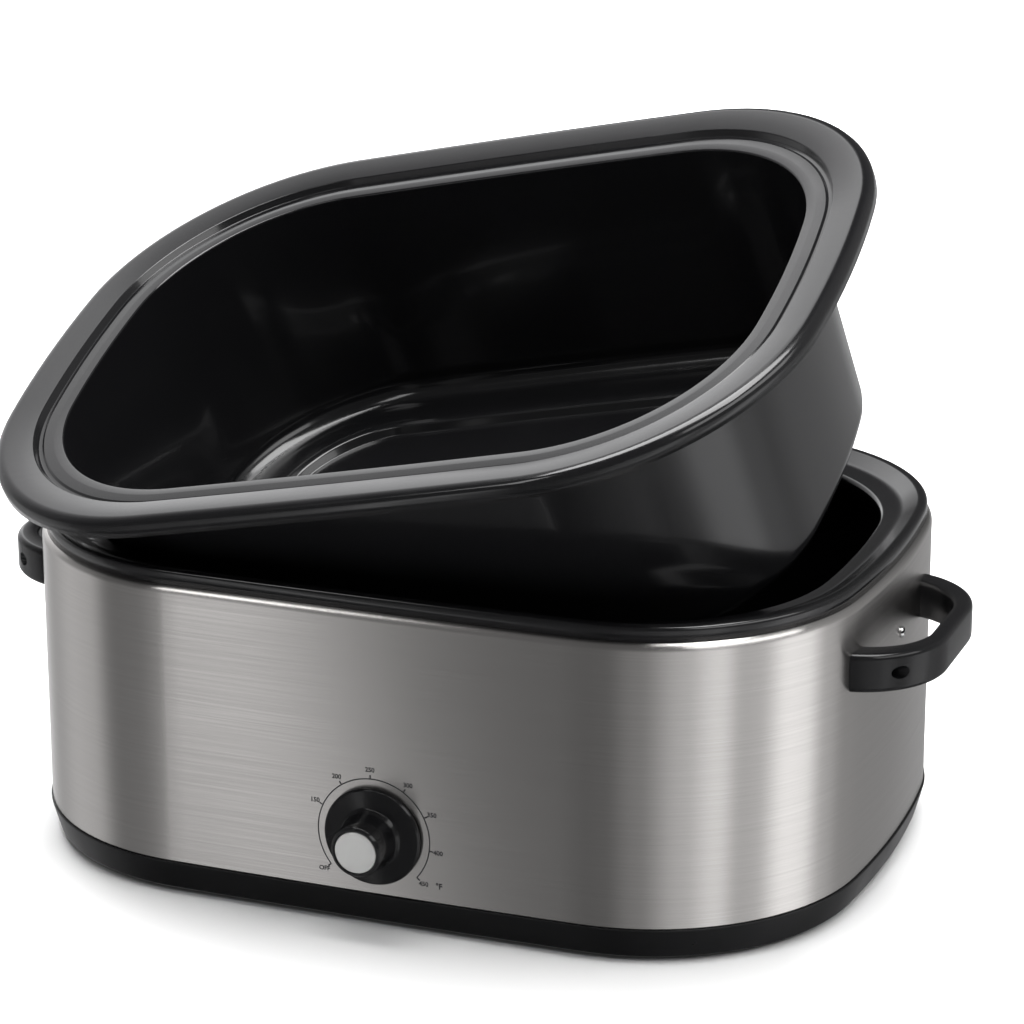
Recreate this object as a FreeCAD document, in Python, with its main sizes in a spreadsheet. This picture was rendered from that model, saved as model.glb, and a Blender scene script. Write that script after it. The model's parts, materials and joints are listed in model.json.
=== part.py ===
import FreeCAD, Part

import math
import os
import re

import Sketcher
from FreeCAD import Placement, Rotation, Vector

# Electric roaster oven: an oval steel base that heats a drawn well, and a loose deep pan that hangs
# in the well by its rim. Millimetres. The origin is the middle of the tray's underside, +Z is up, the
# temperature dial faces -Y and the handles are on the ends, along X. Levels are heights above the
# tray's underside, and the feet reach below it.

# ---------------------------------------------------------------- driving sizes

SIZES = (
    # the base's plan: an oval of eight tangent arcs
    ("wrap_length", 560.0, "wrap, end to end"),
    ("wrap_width", 415.0, "wrap, front to back"),
    ("side_bow_radius", 7156.0, "slight bow of the long sides"),
    ("end_bow_radius", 736.0, "bow of the ends"),
    ("corner_radius", 142.4, "corners of the wrap"),
    # outer wrap
    ("wrap_height", 185.8, "wrap, flange to shoulder"),
    ("wrap_sheet", 0.8, "stainless sheet"),
    ("wrap_shoulder", 6.0, "rolled shoulder under the collar"),
    ("wrap_flange", 8.0, "turned-in bottom flange"),
    ("seam_lap", 14.0, "lap of the wrap's two ends at the back"),
    ("rivet_radius", 1.6, "seam rivets"),
    ("rivet_head_radius", 3.0, "seam rivets' heads"),
    ("rivet_head_height", 1.2, "seam rivets' heads"),
    # base tray and feet
    ("tray_height", 20.2, "tray, without its feet"),
    ("tray_wall", 2.5, "moulded wall"),
    ("tray_taper", 5.5, "how far the tray narrows to its bottom"),
    ("tray_overhang", 1.2, "tray's rim outside the wrap"),
    ("boss_height", 9.0, "screw bosses on the tray's floor"),
    ("boss_radius", 9.0, "screw bosses on the tray's floor"),
    ("post_spacing_long", 400.0, "posts under the well, along X"),
    ("post_spacing_wide", 180.0, "posts under the well, along Y"),
    ("post_radius", 5.0, "posts under the well"),
    ("foot_height", 3.0, "foot below the tray"),
    ("foot_radius", 10.0, "foot"),
    ("foot_stem_radius", 2.5, "foot's stem in the tray"),
    ("foot_spacing_long", 300.0, "feet, along X"),
    ("foot_spacing_wide", 300.0, "feet, along Y"),
    ("machine_screw_radius", 2.0, "shank of every M4 screw"),
    ("screw_head_radius", 3.6, "head of every M4 screw"),
    ("screw_head_height", 2.4, "head of every M4 screw"),
    ("screw_hole_gap", 0.2, "hole over shank, on the radius"),
    # collar and well
    ("collar_width", 31.6, "collar, wrap to opening"),
    ("collar_rise", 9.4, "collar's crest above the wrap"),
    ("collar_dish", 7.9, "collar's ledge below its crest"),
    ("collar_lip", 7.5, "turned-down inner lip"),
    ("collar_sheet", 1.0, "enamelled sheet"),
    ("opening_corner_radius", 128.5, "corners of the collar's opening"),
    ("well_setback", 5.0, "well wall behind the collar's lip"),
    ("well_sheet", 0.8, "enamelled sheet"),
    ("well_floor_level", 43.0, "well floor"),
    ("well_floor_radius", 12.0, "round between well wall and floor"),
    # heating parts
    ("layer_gap", 0.15, "between layers that are wrapped round each other"),
    ("element_height", 50.0, "heater band"),
    ("element_level", 89.0, "heater band's lower edge"),
    ("element_thickness", 3.2, "heater band"),
    ("element_gap", 26.0, "gap between the band's ends"),
    ("blanket_thickness", 13.0, "glass-fibre blanket"),
    ("blanket_level", 83.0, "blanket's lower edge"),
    ("blanket_height", 114.0, "blanket"),
    ("shield_sheet", 0.8, "heat shield over the tray"),
    ("shield_inset", 14.0, "heat shield's edge inside the wrap"),
    ("shield_flange", 8.0, "heat shield's turned-up edge"),
    # control
    ("dial_offset", 3.2, "dial's centre right of the middle"),
    ("dial_level", 59.8, "dial's centre"),
    ("shaft_radius", 3.0, "thermostat shaft"),
    ("shaft_running_gap", 0.05, "shaft in the thermostat, on the radius"),
    ("shaft_depth", 9.5, "shaft inside the thermostat"),
    ("thermostat_wide", 44.0, "thermostat body"),
    ("thermostat_deep", 19.0, "thermostat body"),
    ("thermostat_tall", 40.0, "thermostat body"),
    ("bracket_sheet", 1.2, "thermostat bracket"),
    ("bracket_screw_spacing", 44.0, "bracket screws, hidden by the knob"),
    ("bulb_radius", 2.4, "sensing bulb"),
    ("bulb_length", 80.0, "sensing bulb"),
    ("capillary_radius", 0.8, "capillary tube"),
    ("knob_gap", 0.6, "knob off the wrap"),
    ("knob_radius", 32.0, "knob's skirt"),
    ("knob_skirt", 4.4, "thickness of the knob's skirt"),
    ("knob_length", 29.0, "knob, back to front"),
    ("grip_radius", 18.0, "grip where it meets the skirt"),
    ("grip_end_radius", 16.5, "grip at its end"),
    ("insert_radius", 13.85, "silver insert in the grip's end"),
    ("insert_thickness", 1.6, "silver insert"),
    # handles
    ("handle_reach", 40.5, "handle's outer face beyond the wrap's end"),
    ("handle_bar", 12.0, "thickness of the handle's bar"),
    ("handle_tall", 25.5, "handle, bottom to top"),
    ("handle_level", 162.25, "handle's middle"),
    ("handle_shift", -12.0, "handle's middle along Y"),
    ("handle_straight", 52.0, "straight run of the handle's outer face"),
    ("handle_outer_radius", 58.0, "handle's outer corners"),
    ("handle_inner_straight", 44.0, "straight run of the handle's inner face"),
    ("handle_inner_radius", 42.0, "handle's inner corners"),
    ("handle_edge", 4.0, "rounding of the handle's edges"),
    ("handle_screw_spacing", 137.0, "the two screws of a handle"),
    ("handle_screw_seat", 8.0, "screw head's seat outside the wrap's end"),
    ("end_screw_drop", 4.25, "bright screw below the handle's middle"),
    ("plate_sheet", 1.5, "backing plate behind each handle"),
    ("nut_radius", 3.8, "handle nuts"),
    ("nut_height", 3.2, "handle nuts"),
    # cord entry
    ("gland_offset", 60.0, "gland beside the seam"),
    ("gland_level", 42.0, "gland"),
    ("gland_bore_radius", 3.9, "gland's lip round the cord"),
    ("gland_lip", 3.0, "length of the gland's lip"),
    ("gland_relief_radius", 5.2, "gland's bore behind its lip"),
    ("gland_flange", 4.0, "thickness of the gland's outer flange"),
    ("gland_radius", 7.5, "gland in the wrap"),
    ("gland_flange_radius", 10.5, "gland's outer flange"),
    ("lead_radius", 1.3, "insulated leads"),
    ("fuse_level", 71.0, "thermal fuse"),
    ("fuse_offset", 48.0, "thermal fuse right of the middle"),
    ("fuse_radius", 2.0, "thermal fuse"),
    ("fuse_clip_sheet", 0.6, "clip round the fuse"),
    # pan
    ("pan_clearance", 4.6, "pan in the collar's opening, each side"),
    ("pan_sheet", 1.0, "enamelled sheet"),
    ("pan_depth", 160.0, "pan below its opening edge"),
    ("pan_draft", 6.6, "narrowing of the wall to the bottom"),
    ("pan_floor_radius", 13.0, "round between wall and floor"),
    ("rim_width", 44.0, "rim, opening edge to outer edge"),
    ("rim_rise", 7.6, "rim's crest above the opening edge"),
    ("rim_roll", 7.0, "rolled outer edge"),
    ("rim_skirt", 11.6, "rim's turned-down edge, from its crest"),
    ("mouth_ring", 14.6, "raised ring round the mouth"),
    ("mouth_ring_height", 1.1, "raised ring above the opening edge"),
    ("groove_level", 0.2, "groove round the ring, above the opening edge"),
    ("flange_step", 4.6, "flange's inner edge above the opening edge"),
    ("rim_corner_radius", 160.0, "corners of the rim's outer edge"),
    ("rib_inset", 36.0, "floor rib inside the wall"),
    ("rib_width", 14.0, "floor rib"),
    ("rib_height", 6.0, "floor rib"),
    ("pan_seat_gap", 0.6, "rim above the collar's crest"),
    ("pan_heading", 236.06, "side on which the pan stays in, degrees"),
    ("pan_tilt", 22.92, "how far the pan is tipped out, degrees"),
    ("pivot_beyond", 123.45, "tipping axis outside the opening"),
    ("pivot_drop", 44.71, "tipping axis below the seated rim"),
)

TERMINAL_SPOTS = (-34.0, 34.0)   # the two terminals along X, beside the band's gap
ARC_STEPS = 4           # straight steps that a bend in a sheet's section is given
COLLAR_PARALLEL = 8.0   # outer part of the collar, which runs parallel to the wrap
FLOOR_REACH = 60.0      # where a floor's flat middle starts, inside the wall

# heights and places that more than one piece uses, as expressions of the sizes
TRAY_TOP = "(tray_height)"
WRAP_TOP = "(tray_height + wrap_height)"
CREST = "(tray_height + wrap_height + collar_rise)"
SHIELD_LEVEL = "(boss_height)"
SHIELD_TOP = "(boss_height + shield_sheet)"
WELL_BOTTOM = "(well_floor_level - well_sheet)"
WELL_FACE = "(collar_width - well_setback)"
BAND_INSIDE = "(collar_width - well_setback - well_sheet - layer_gap)"
BAND_OUTSIDE = "(collar_width - well_setback - well_sheet - layer_gap - element_thickness)"
END_SCREW_LEVEL = "(handle_level - end_screw_drop)"
FRONT = "(-wrap_width / 2)"
BACK = "(wrap_width / 2)"
BRACKET_FACE = "(-wrap_width / 2 + wrap_sheet + layer_gap)"
THERMOSTAT_FACE = "(-wrap_width / 2 + wrap_sheet + layer_gap + bracket_sheet)"
SCREW_HOLE = "(machine_screw_radius + screw_hole_gap)"

doc = FreeCAD.newDocument("roaster_oven")
sheet = doc.addObject("Spreadsheet::Sheet", "Sizes")
nodes = []


def fill_sheet():
    """One row for each driving size: its words, its number and its alias."""
    for row, (alias, number, words) in enumerate(SIZES, start=1):
        sheet.set("A%d" % row, words)
        sheet.set("B%d" % row, str(number))
        sheet.setAlias("B%d" % row, alias)
    doc.recompute()


def cells(expression):
    """The expression with every size's name pointing at its cell."""
    return re.sub(r"\b([a-z]+(?:_[a-z]+)+)\b", r"Sizes.\1", expression)


def value(expression):
    """The number that an expression of the sizes has now."""
    return float(sheet.evalExpression(cells(expression)))


# ---------------------------------------------------------------- the oval plan

class Oval:
    """A closed outline of eight tangent arcs: two sides, two ends and four corners."""

    def __init__(self, half_length, half_width, side_radius, end_radius, corner_radius):
        self.half_length = half_length
        self.half_width = half_width
        self.side_radius = side_radius
        self.end_radius = end_radius
        self.corner_radius = corner_radius

    def grown(self, outward, corner_growth=None):
        """The outline moved outward, its corners by their own amount if one is given."""
        corner = outward if corner_growth is None else corner_growth
        return Oval(self.half_length + outward, self.half_width + outward,
                    self.side_radius + outward, self.end_radius + outward,
                    self.corner_radius + corner)

    def corner_centre(self):
        """Centre of the circle that touches a side's and an end's circle from inside."""
        side_y = self.half_width - self.side_radius
        end_x = self.half_length - self.end_radius
        to_side = self.side_radius - self.corner_radius
        to_end = self.end_radius - self.corner_radius
        span = math.hypot(end_x, side_y)
        along = (to_side ** 2 - to_end ** 2 + span ** 2) / (2 * span)
        across = math.sqrt(to_side ** 2 - along ** 2)
        unit_x, unit_y = end_x / span, -side_y / span
        return along * unit_x + across * unit_y, side_y + along * unit_y - across * unit_x

    def edges(self, height):
        """The eight arcs at a height, from the right end's, anticlockwise."""
        corner_x, corner_y = self.corner_centre()
        side_y = self.half_width - self.side_radius
        end_x = self.half_length - self.end_radius
        side_share = self.side_radius / (self.side_radius - self.corner_radius)
        end_share = self.end_radius / (self.end_radius - self.corner_radius)
        side_touch = (corner_x * side_share, side_y + (corner_y - side_y) * side_share)
        end_touch = (end_x + (corner_x - end_x) * end_share, corner_y * end_share)
        lean = math.atan2(side_touch[1] + end_touch[1] - 2 * corner_y,
                          side_touch[0] + end_touch[0] - 2 * corner_x)
        corner = (corner_x + self.corner_radius * math.cos(lean),
                  corner_y + self.corner_radius * math.sin(lean))
        quarter = [(self.half_length, 0), end_touch, corner, side_touch]
        left = [(-x, y) for x, y in reversed(quarter[1:])]
        upper = quarter + [(0, self.half_width)] + left
        lower = [(-x, -y) for x, y in upper]
        ring = [Vector(x, y, height) for x, y in upper + lower]
        arcs = []
        for start in range(-1, len(ring) - 1, 2):
            arcs.append(Part.Arc(ring[start], ring[start + 1], ring[start + 2]).toShape())
        return arcs

    def face(self, height):
        return Part.Face(Part.Wire(self.edges(height)))

    def reach(self, heading):
        """How far the outline extends from the middle in a direction, in degrees."""
        corner_x, corner_y = self.corner_centre()
        x, y = abs(math.cos(math.radians(heading))), abs(math.sin(math.radians(heading)))
        return corner_x * x + corner_y * y + self.corner_radius


def wrap_oval():
    return Oval(value("wrap_length / 2"), value("wrap_width / 2"), value("side_bow_radius"),
                value("end_bow_radius"), value("corner_radius"))


def base_oval(outward):
    """The base's plan at a distance outside the wrap's face, or inside where negative."""
    collar = value("collar_width")
    inner_growth = value("opening_corner_radius - corner_radius")
    if outward >= -COLLAR_PARALLEL:
        return wrap_oval().grown(outward)
    if outward > -collar:
        share = (-outward - COLLAR_PARALLEL) / (collar - COLLAR_PARALLEL)
        growth = -COLLAR_PARALLEL + share * (inner_growth + COLLAR_PARALLEL)
        return wrap_oval().grown(outward, growth)
    return wrap_oval().grown(outward, inner_growth + outward + collar)


def pan_oval(outward):
    """The pan's plan at a distance outside its opening edge, or inside where negative."""
    edge = base_oval(-value("collar_width")).grown(-value("pan_clearance + pan_sheet"))
    if outward <= 0:
        return edge.grown(outward)
    rate = (value("rim_corner_radius") - edge.corner_radius) / value("rim_width")
    return edge.grown(outward, rate * outward)


# ---------------------------------------------------------------- sections swept round the plan
# A section is a list of (distance outward, height) points. A sheet lies to the left of its path.

def bend(centre, radius, start, end):
    """Points of a bend about a centre, between two directions in degrees."""
    points = []
    for step in range(ARC_STEPS + 1):
        angle = math.radians(start + (end - start) * step / ARC_STEPS)
        points.append((centre[0] + radius * math.cos(angle), centre[1] + radius * math.sin(angle)))
    return points


def beside(path, thickness):
    """The path moved to its left by a thickness, with mitred corners."""
    normals = []
    for (x1, z1), (x2, z2) in zip(path, path[1:]):
        length = math.hypot(x2 - x1, z2 - z1)
        normals.append(((z1 - z2) / length, (x2 - x1) / length))
    moved = []
    for index, (x, z) in enumerate(path):
        before = normals[max(index - 1, 0)]
        after = normals[min(index, len(normals) - 1)]
        mitre = thickness / (1 + before[0] * after[0] + before[1] * after[1])
        moved.append((x + (before[0] + after[0]) * mitre, z + (before[1] + after[1]) * mitre))
    return moved


def swept(oval_at, section, closed):
    """A solid whose faces join the ovals of neighbouring section points.

    A closed section makes a ring. An open one starts and ends on a floor, which caps it.
    """
    rings = [oval_at(outward).edges(height) for outward, height in section]
    pairs = list(zip(rings, rings[1:]))
    if closed:
        pairs.append((rings[-1], rings[0]))
    faces = []
    for lower, upper in pairs:
        faces += [Part.makeRuledSurface(one, other) for one, other in zip(lower, upper)]
    if not closed:
        faces += [Part.Face(Part.Wire(rings[0])), Part.Face(Part.Wire(rings[-1]))]
    shell = Part.makeShell(faces)
    shell.sewShape()
    solid = Part.makeSolid(shell)
    if solid.Volume < 0:
        solid.reverse()
    return solid


def sheet_ring(oval_at, path, thickness):
    return swept(oval_at, path + beside(path, thickness)[::-1], closed=True)


def sheet_dish(oval_at, path, thickness):
    """A dish whose path runs from its rim to its floor."""
    return swept(oval_at, path[::-1] + beside(path, thickness), closed=False)


def plain_ring(oval_at, inner, outer, low, high):
    """A ring of rectangular section between two distances outward and two heights."""
    section = [(inner, low), (outer, low), (outer, high), (inner, high)]
    return swept(oval_at, section, closed=True)


# ---------------------------------------------------------------- document objects

def feature(label, shape, placement=None):
    """A free shape as a document object, placed after its shape is set."""
    item = doc.addObject("Part::Feature", label)
    item.Shape = shape
    if placement:
        item.Placement = placement
    return item


def place(item, x, y, z, rotation=None):
    """Puts an object where three expressions say, turned by a rotation."""
    item.Placement = Placement(Vector(value(x), value(y), value(z)), rotation or Rotation())
    for axis, expression in zip("xyz", (x, y, z)):
        item.setExpression(".Placement.Base." + axis, cells(expression))
    return item


ALONG_X = Rotation(Vector(0, 1, 0), 90)
ALONG_Y = Rotation(Vector(1, 0, 0), -90)
FACING_FRONT = Rotation(Vector(1, 0, 0), 90)


def box(label, size, corner):
    """A box from three expressions for its size and three for its lowest corner."""
    item = doc.addObject("Part::Box", label)
    for name, expression in zip(("Length", "Width", "Height"), size):
        item.setExpression(name, cells(expression))
    return place(item, *corner)


def rod(label, radius, length, start, rotation=None):
    item = doc.addObject("Part::Cylinder", label)
    item.setExpression("Radius", cells(radius))
    item.setExpression("Height", cells(length))
    return place(item, *start, rotation)


def fused(label, items):
    item = doc.addObject("Part::MultiFuse", label)
    item.Shapes = items
    return item


def cut(label, base, tools):
    """The base less its tools."""
    item = doc.addObject("Part::Cut", label)
    item.Base = base
    item.Tool = tools[0] if len(tools) == 1 else fused(label + "_cuts", tools)
    return item


def turned(label, corners):
    """A body turned about its own Z axis. Its section's corners are (radius, height) expressions."""
    body = doc.addObject("PartDesign::Body", label)
    section = body.newObject("Sketcher::SketchObject", label + "_section")
    plane = [item for item in body.Origin.OriginFeatures if item.Role == "XZ_Plane"][0]
    section.AttachmentSupport = [(plane, "")]
    section.MapMode = "FlatFace"
    points = [Vector(value(radius), value(height), 0) for radius, height in corners]
    for start, end in zip(points, points[1:] + points[:1]):
        section.addGeometry(Part.LineSegment(start, end), False)
    count = len(points)
    for index in range(count):
        joint = Sketcher.Constraint("Coincident", index, 2, (index + 1) % count, 1)
        section.addConstraint(joint)
    for index, (corner, point) in enumerate(zip(corners, points)):
        pin_coordinate(section, index, "DistanceX", corner[0], point.x, -2)
        pin_coordinate(section, index, "DistanceY", corner[1], point.y, -1)
    turn = body.newObject("PartDesign::Revolution", label + "_turn")
    turn.Profile = section
    turn.ReferenceAxis = (section, ["V_Axis"])
    turn.Angle = 360
    return body


def pin_coordinate(section, corner, kind, expression, number, axis):
    """Holds one coordinate of a sketch corner: on the axis where it is 0, else at its expression."""
    if abs(number) < 1e-9:
        section.addConstraint(Sketcher.Constraint("PointOnObject", corner, 1, axis))
        return
    index = section.addConstraint(Sketcher.Constraint(kind, -1, 1, corner, 1, number))
    section.setExpression("Constraints[%d]" % index, cells(expression))


def copies(label, item, placements):
    """One node of identical pieces, each a separate solid."""
    doc.recompute()
    shapes = []
    for placement in placements:
        shape = item.Shape.copy()
        shape.Placement = placement
        shapes.append(shape)
    return feature(label, Part.makeCompound(shapes))


def node(item, label):
    """Names a finished sub-part."""
    item.Label = label
    nodes.append(item)
    return item


def corners_of(spacing_long, spacing_wide):
    """The four corners of a rectangle about the origin, as (name, x, y)."""
    x, y = value(spacing_long) / 2, value(spacing_wide) / 2
    return (("front_left", -x, -y), ("front_right", x, -y),
            ("rear_left", -x, y), ("rear_right", x, y))


def pan_head_screw(label, shank_length):
    """A screw with its head on +Z and its shank below."""
    return turned(label, (
        ("0", "screw_head_height"), ("screw_head_radius * 0.6", "screw_head_height"),
        ("screw_head_radius", "screw_head_height * 0.4"), ("screw_head_radius", "0"),
        ("machine_screw_radius", "0"), ("machine_screw_radius", "-(%s)" % shank_length),
        ("0", "-(%s)" % shank_length)))


# ---------------------------------------------------------------- tray, feet and posts

def make_base_tray():
    """Moulded tray: its floor, a flaring wall and four screw bosses with sunk seats."""
    top = value(TRAY_TOP)
    rim, wall = value("tray_overhang"), value("tray_wall")
    base = rim - value("tray_taper")
    section = [(-FLOOR_REACH, 0), (base - wall / 2, 0), (base, wall / 2), (rim, top),
               (rim - wall, top), (base - wall, wall), (-FLOOR_REACH, wall)]
    parts = [feature("tray_shell", swept(base_oval, section, closed=False))]
    drills = []
    for name, x, y in corners_of("post_spacing_long", "post_spacing_wide"):
        parts.append(rod("tray_boss_" + name, "boss_radius", "boss_height",
                         (str(x), str(y), "0")))
        drills.append(rod("tray_hole_" + name, SCREW_HOLE, "boss_height + 2",
                          (str(x), str(y), "-1")))
        drills.append(rod("tray_seat_" + name, "screw_head_radius + 1", "screw_head_height + 1.4",
                          (str(x), str(y), "-1")))
    for name, x, y in corners_of("foot_spacing_long", "foot_spacing_wide"):
        drills.append(rod("tray_foot_hole_" + name, "foot_stem_radius", "tray_wall + 2",
                          (str(x), str(y), "-1")))
    node(cut("tray_drilled", fused("tray_blank", parts), drills), "base_tray")


def make_feet():
    """Rubber feet whose barbed stems snap through the tray's floor."""
    for name, x, y in corners_of("foot_spacing_long", "foot_spacing_wide"):
        foot = turned("foot_" + name, (
            ("0", "0"), ("foot_radius - 1", "0"), ("foot_radius", "foot_height"),
            ("foot_stem_radius", "foot_height"), ("foot_stem_radius", "foot_height + tray_wall"),
            ("foot_stem_radius + 1", "foot_height + tray_wall"),
            ("foot_stem_radius - 1", "foot_height + tray_wall + 3"),
            ("0", "foot_height + tray_wall + 3")))
        node(place(foot, str(x), str(y), "-foot_height"), "foot_" + name)


def make_posts_and_screws():
    """Posts welded under the well, each pulled down on the tray's boss by a screw."""
    post = turned("post", (
        ("machine_screw_radius", "0"), ("post_radius", "0"),
        ("post_radius", WELL_BOTTOM + " - " + SHIELD_TOP),
        ("machine_screw_radius", WELL_BOTTOM + " - " + SHIELD_TOP)))
    screw = pan_head_screw("tie_screw", "boss_height + 12")
    spots = corners_of("post_spacing_long", "post_spacing_wide")
    level = value(SHIELD_TOP)
    node(copies("posts", post, [Placement(Vector(x, y, level), Rotation()) for _, x, y in spots]),
         "well_posts")
    seat = value("screw_head_height") + 0.4
    upside_down = Rotation(Vector(1, 0, 0), 180)
    node(copies("screws", screw, [Placement(Vector(x, y, seat), upside_down) for _, x, y in spots]),
         "tie_screws")


# ---------------------------------------------------------------- wrap

def handle_screw_spots():
    """The four handle screws as (side, y), side being +1 on the right."""
    middle, spacing = value("handle_shift"), value("handle_screw_spacing")
    return [(side, middle + end * spacing / 2) for side in (-1, 1) for end in (-1, 1)]


def wrap_end_x(y, outward=0.0):
    """How far along X the wrap's face is at a place along an end or a corner."""
    oval = base_oval(outward)
    corner_x, corner_y = oval.corner_centre()
    touch = corner_y * oval.end_radius / (oval.end_radius - oval.corner_radius)
    if abs(y) <= touch:
        return oval.half_length - oval.end_radius + math.sqrt(oval.end_radius ** 2 - y * y)
    return corner_x + math.sqrt(oval.corner_radius ** 2 - (abs(y) - corner_y) ** 2)


def rivet_levels():
    """Even heights of the seam's rivets."""
    low, high = value(TRAY_TOP) + 20, value(WRAP_TOP) - 20
    return [low + (high - low) * step / 4 for step in range(5)]


def make_outer_wrap():
    """Stainless wrap with a turned-in flange, a rolled shoulder and a riveted lap at the back."""
    bottom, top = value(TRAY_TOP), value(WRAP_TOP)
    shoulder, gauge = value("wrap_shoulder"), value("wrap_sheet")
    path = [(-value("wrap_flange"), bottom), (-1, bottom), (0, bottom + 1)]
    path += bend((-shoulder, top - shoulder), shoulder, 0, 90)
    path += [(-shoulder - 4, top)]
    shell = sheet_ring(base_oval, path, gauge)
    lap_ring = plain_ring(base_oval, -gauge / 2, gauge, bottom + 2, top - shoulder - 2)
    lap_width = value("seam_lap")
    lap_zone = Part.makeBox(lap_width, 40, top, Vector(-lap_width / 2, value(BACK) - 20, 0))
    blank = feature("wrap_blank", shell.fuse(lap_ring.common(lap_zone)))
    drills = [rod("dial_hole", "shaft_radius + 1.5", "10", ("dial_offset", FRONT + " - 5", "dial_level"),
                  ALONG_Y)]
    for name, sign in (("left", "-"), ("right", "+")):
        drills.append(rod("bracket_hole_" + name, SCREW_HOLE, "10",
                          ("dial_offset %s bracket_screw_spacing / 2" % sign, FRONT + " - 5",
                           "dial_level"), ALONG_Y))
    for index, (side, y) in enumerate(handle_screw_spots()):
        x = side * wrap_end_x(y) - 10
        drills.append(rod("handle_hole_%d" % index, SCREW_HOLE, "20",
                          (str(x), str(y), "handle_level"), ALONG_X))
    for name, sign in (("left", "-"), ("right", "")):
        drills.append(rod("end_hole_" + name, SCREW_HOLE, "20",
                          ("%swrap_length / 2 - 10" % sign, "0", END_SCREW_LEVEL), ALONG_X))
    drills.append(rod("gland_hole", "gland_radius", "12",
                      ("gland_offset", BACK + " - 6", "gland_level"), ALONG_Y))
    for index, level in enumerate(rivet_levels()):
        drills.append(rod("rivet_hole_%d" % index, "rivet_radius", "12",
                          ("0", BACK + " - 6", str(level)), ALONG_Y))
    node(cut("wrap_drilled", blank, drills), "outer_wrap")


def make_seam_rivets():
    """Domed rivets that close the lap."""
    rivet = turned("rivet", (
        ("0", "rivet_head_height"), ("rivet_head_radius * 0.6", "rivet_head_height * 0.85"),
        ("rivet_head_radius", "0"), ("rivet_radius", "0"), ("rivet_radius", "-2 * wrap_sheet"),
        ("rivet_head_radius * 0.8", "-2 * wrap_sheet"),
        ("rivet_head_radius * 0.8", "-2 * wrap_sheet - 0.8"), ("0", "-2 * wrap_sheet - 0.8")))
    face = value(BACK) + value("wrap_sheet")
    spots = [Placement(Vector(0, face, level), ALONG_Y) for level in rivet_levels()]
    node(copies("rivets", rivet, spots), "seam_rivets")


# ---------------------------------------------------------------- collar, well and heat

def collar_points():
    """Top face of the collar, from its outer skirt over the crest to the inner lip."""
    start, crest = value(WRAP_TOP), value(CREST)
    inner, ledge = -value("collar_width"), crest - value("collar_dish")
    crest_radius, lip_radius = 3.0, 3.0
    path = [(-3.0, start - 0.2), (-3.4, start + 5)]
    path += bend((-6.6, crest - crest_radius), crest_radius, 10, 100)
    path += [(-20, ledge + 2)]
    path += bend((inner + lip_radius, ledge - lip_radius), lip_radius, 100, 180)
    path += [(inner, ledge - value("collar_lip"))]
    return path


def make_top_collar():
    """Black enamelled collar: a skirt over the wrap, a crest and a ledge that slopes to the well."""
    node(feature("collar", sheet_ring(base_oval, collar_points(), value("collar_sheet"))),
         "top_collar")


def make_inner_well():
    """Drawn well hung under the collar's ledge."""
    wall, floor = -value(WELL_FACE), value("well_floor_level")
    radius = value("well_floor_radius")
    ledge = value(CREST) - value("collar_dish") - value("collar_sheet")
    path = [(-20, ledge + 1.7), (wall + 1, ledge - 0.1), (wall, ledge - 1.2)]
    path += bend((wall - radius, floor + radius), radius, 0, -90)
    path += [(wall - radius - FLOOR_REACH, floor)]
    node(feature("well", sheet_dish(base_oval, path, value("well_sheet"))), "inner_well")


def make_heating_element():
    """Mica heater band round the well, open at the back, where two lugs draw it tight."""
    face, outside = -value(BAND_INSIDE), -value(BAND_OUTSIDE)
    low, tall = value("element_level"), value("element_height")
    band = plain_ring(base_oval, face, outside, low, low + tall)
    gap = value("element_gap")
    band = band.cut(Part.makeBox(gap, 80, tall + 2, Vector(-gap / 2, value(BACK) - 80, low - 1)))
    outer = base_oval(outside).half_width
    for side in (-1, 1):
        corner = Vector(side * (gap / 2 + 1) - 1, outer - 1.5, low + 5)
        lug = Part.makeBox(2, 11.5, tall - 10, corner)
        axis_start = Vector(corner.x - 2, outer + 5, low + tall / 2)
        hole = Part.makeCylinder(value("machine_screw_radius"), 6, axis_start, Vector(1, 0, 0))
        band = band.fuse(lug).cut(hole)
    node(feature("band", band), "heating_element")


def make_element_clamp():
    """Long screw and barrel nut that pull the band's two lugs together."""
    gap = value("element_gap")
    length = gap + 12
    start = Vector(-length / 2, base_oval(-value(BAND_OUTSIDE)).half_width + 5,
                   value("element_level + element_height / 2"))
    along = Vector(1, 0, 0)
    shank = Part.makeCylinder(value("machine_screw_radius"), length, start, along)
    head = Part.makeCylinder(value("screw_head_radius"), 3, start + Vector(1, 0, 0), along)
    nut_start = start + Vector(length - 4, 0, 0)
    nut = Part.makeCylinder(value("nut_radius"), 4, nut_start, along)
    node(feature("clamp", shank.fuse(head).fuse(nut)), "element_clamp")


def make_element_terminals():
    """Two blade terminals riveted to the band's face, reaching below it."""
    y = base_oval(-value(BAND_OUTSIDE)).half_width
    blades = []
    for x in TERMINAL_SPOTS:
        plate = Part.makeBox(6.3, 1.2, 24, Vector(x - 3.15, y, value("element_level") - 12))
        blades.append(plate)
    node(feature("terminals", Part.makeCompound(blades)), "element_terminals")


def make_insulation_blanket():
    """Glass-fibre blanket round the heater band, notched at the back for its lugs and terminals."""
    inner = -value(BAND_OUTSIDE) + value("layer_gap")
    low, tall = value("blanket_level"), value("blanket_height")
    ring = plain_ring(base_oval, inner, inner + value("blanket_thickness"), low, low + tall)
    notch_top = value("element_level + element_height") + 6
    notch = Part.makeBox(96, 60, notch_top - low + 1, Vector(-48, value(BACK) - 60, low - 1))
    node(feature("blanket", ring.cut(notch)), "insulation_blanket")


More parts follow.
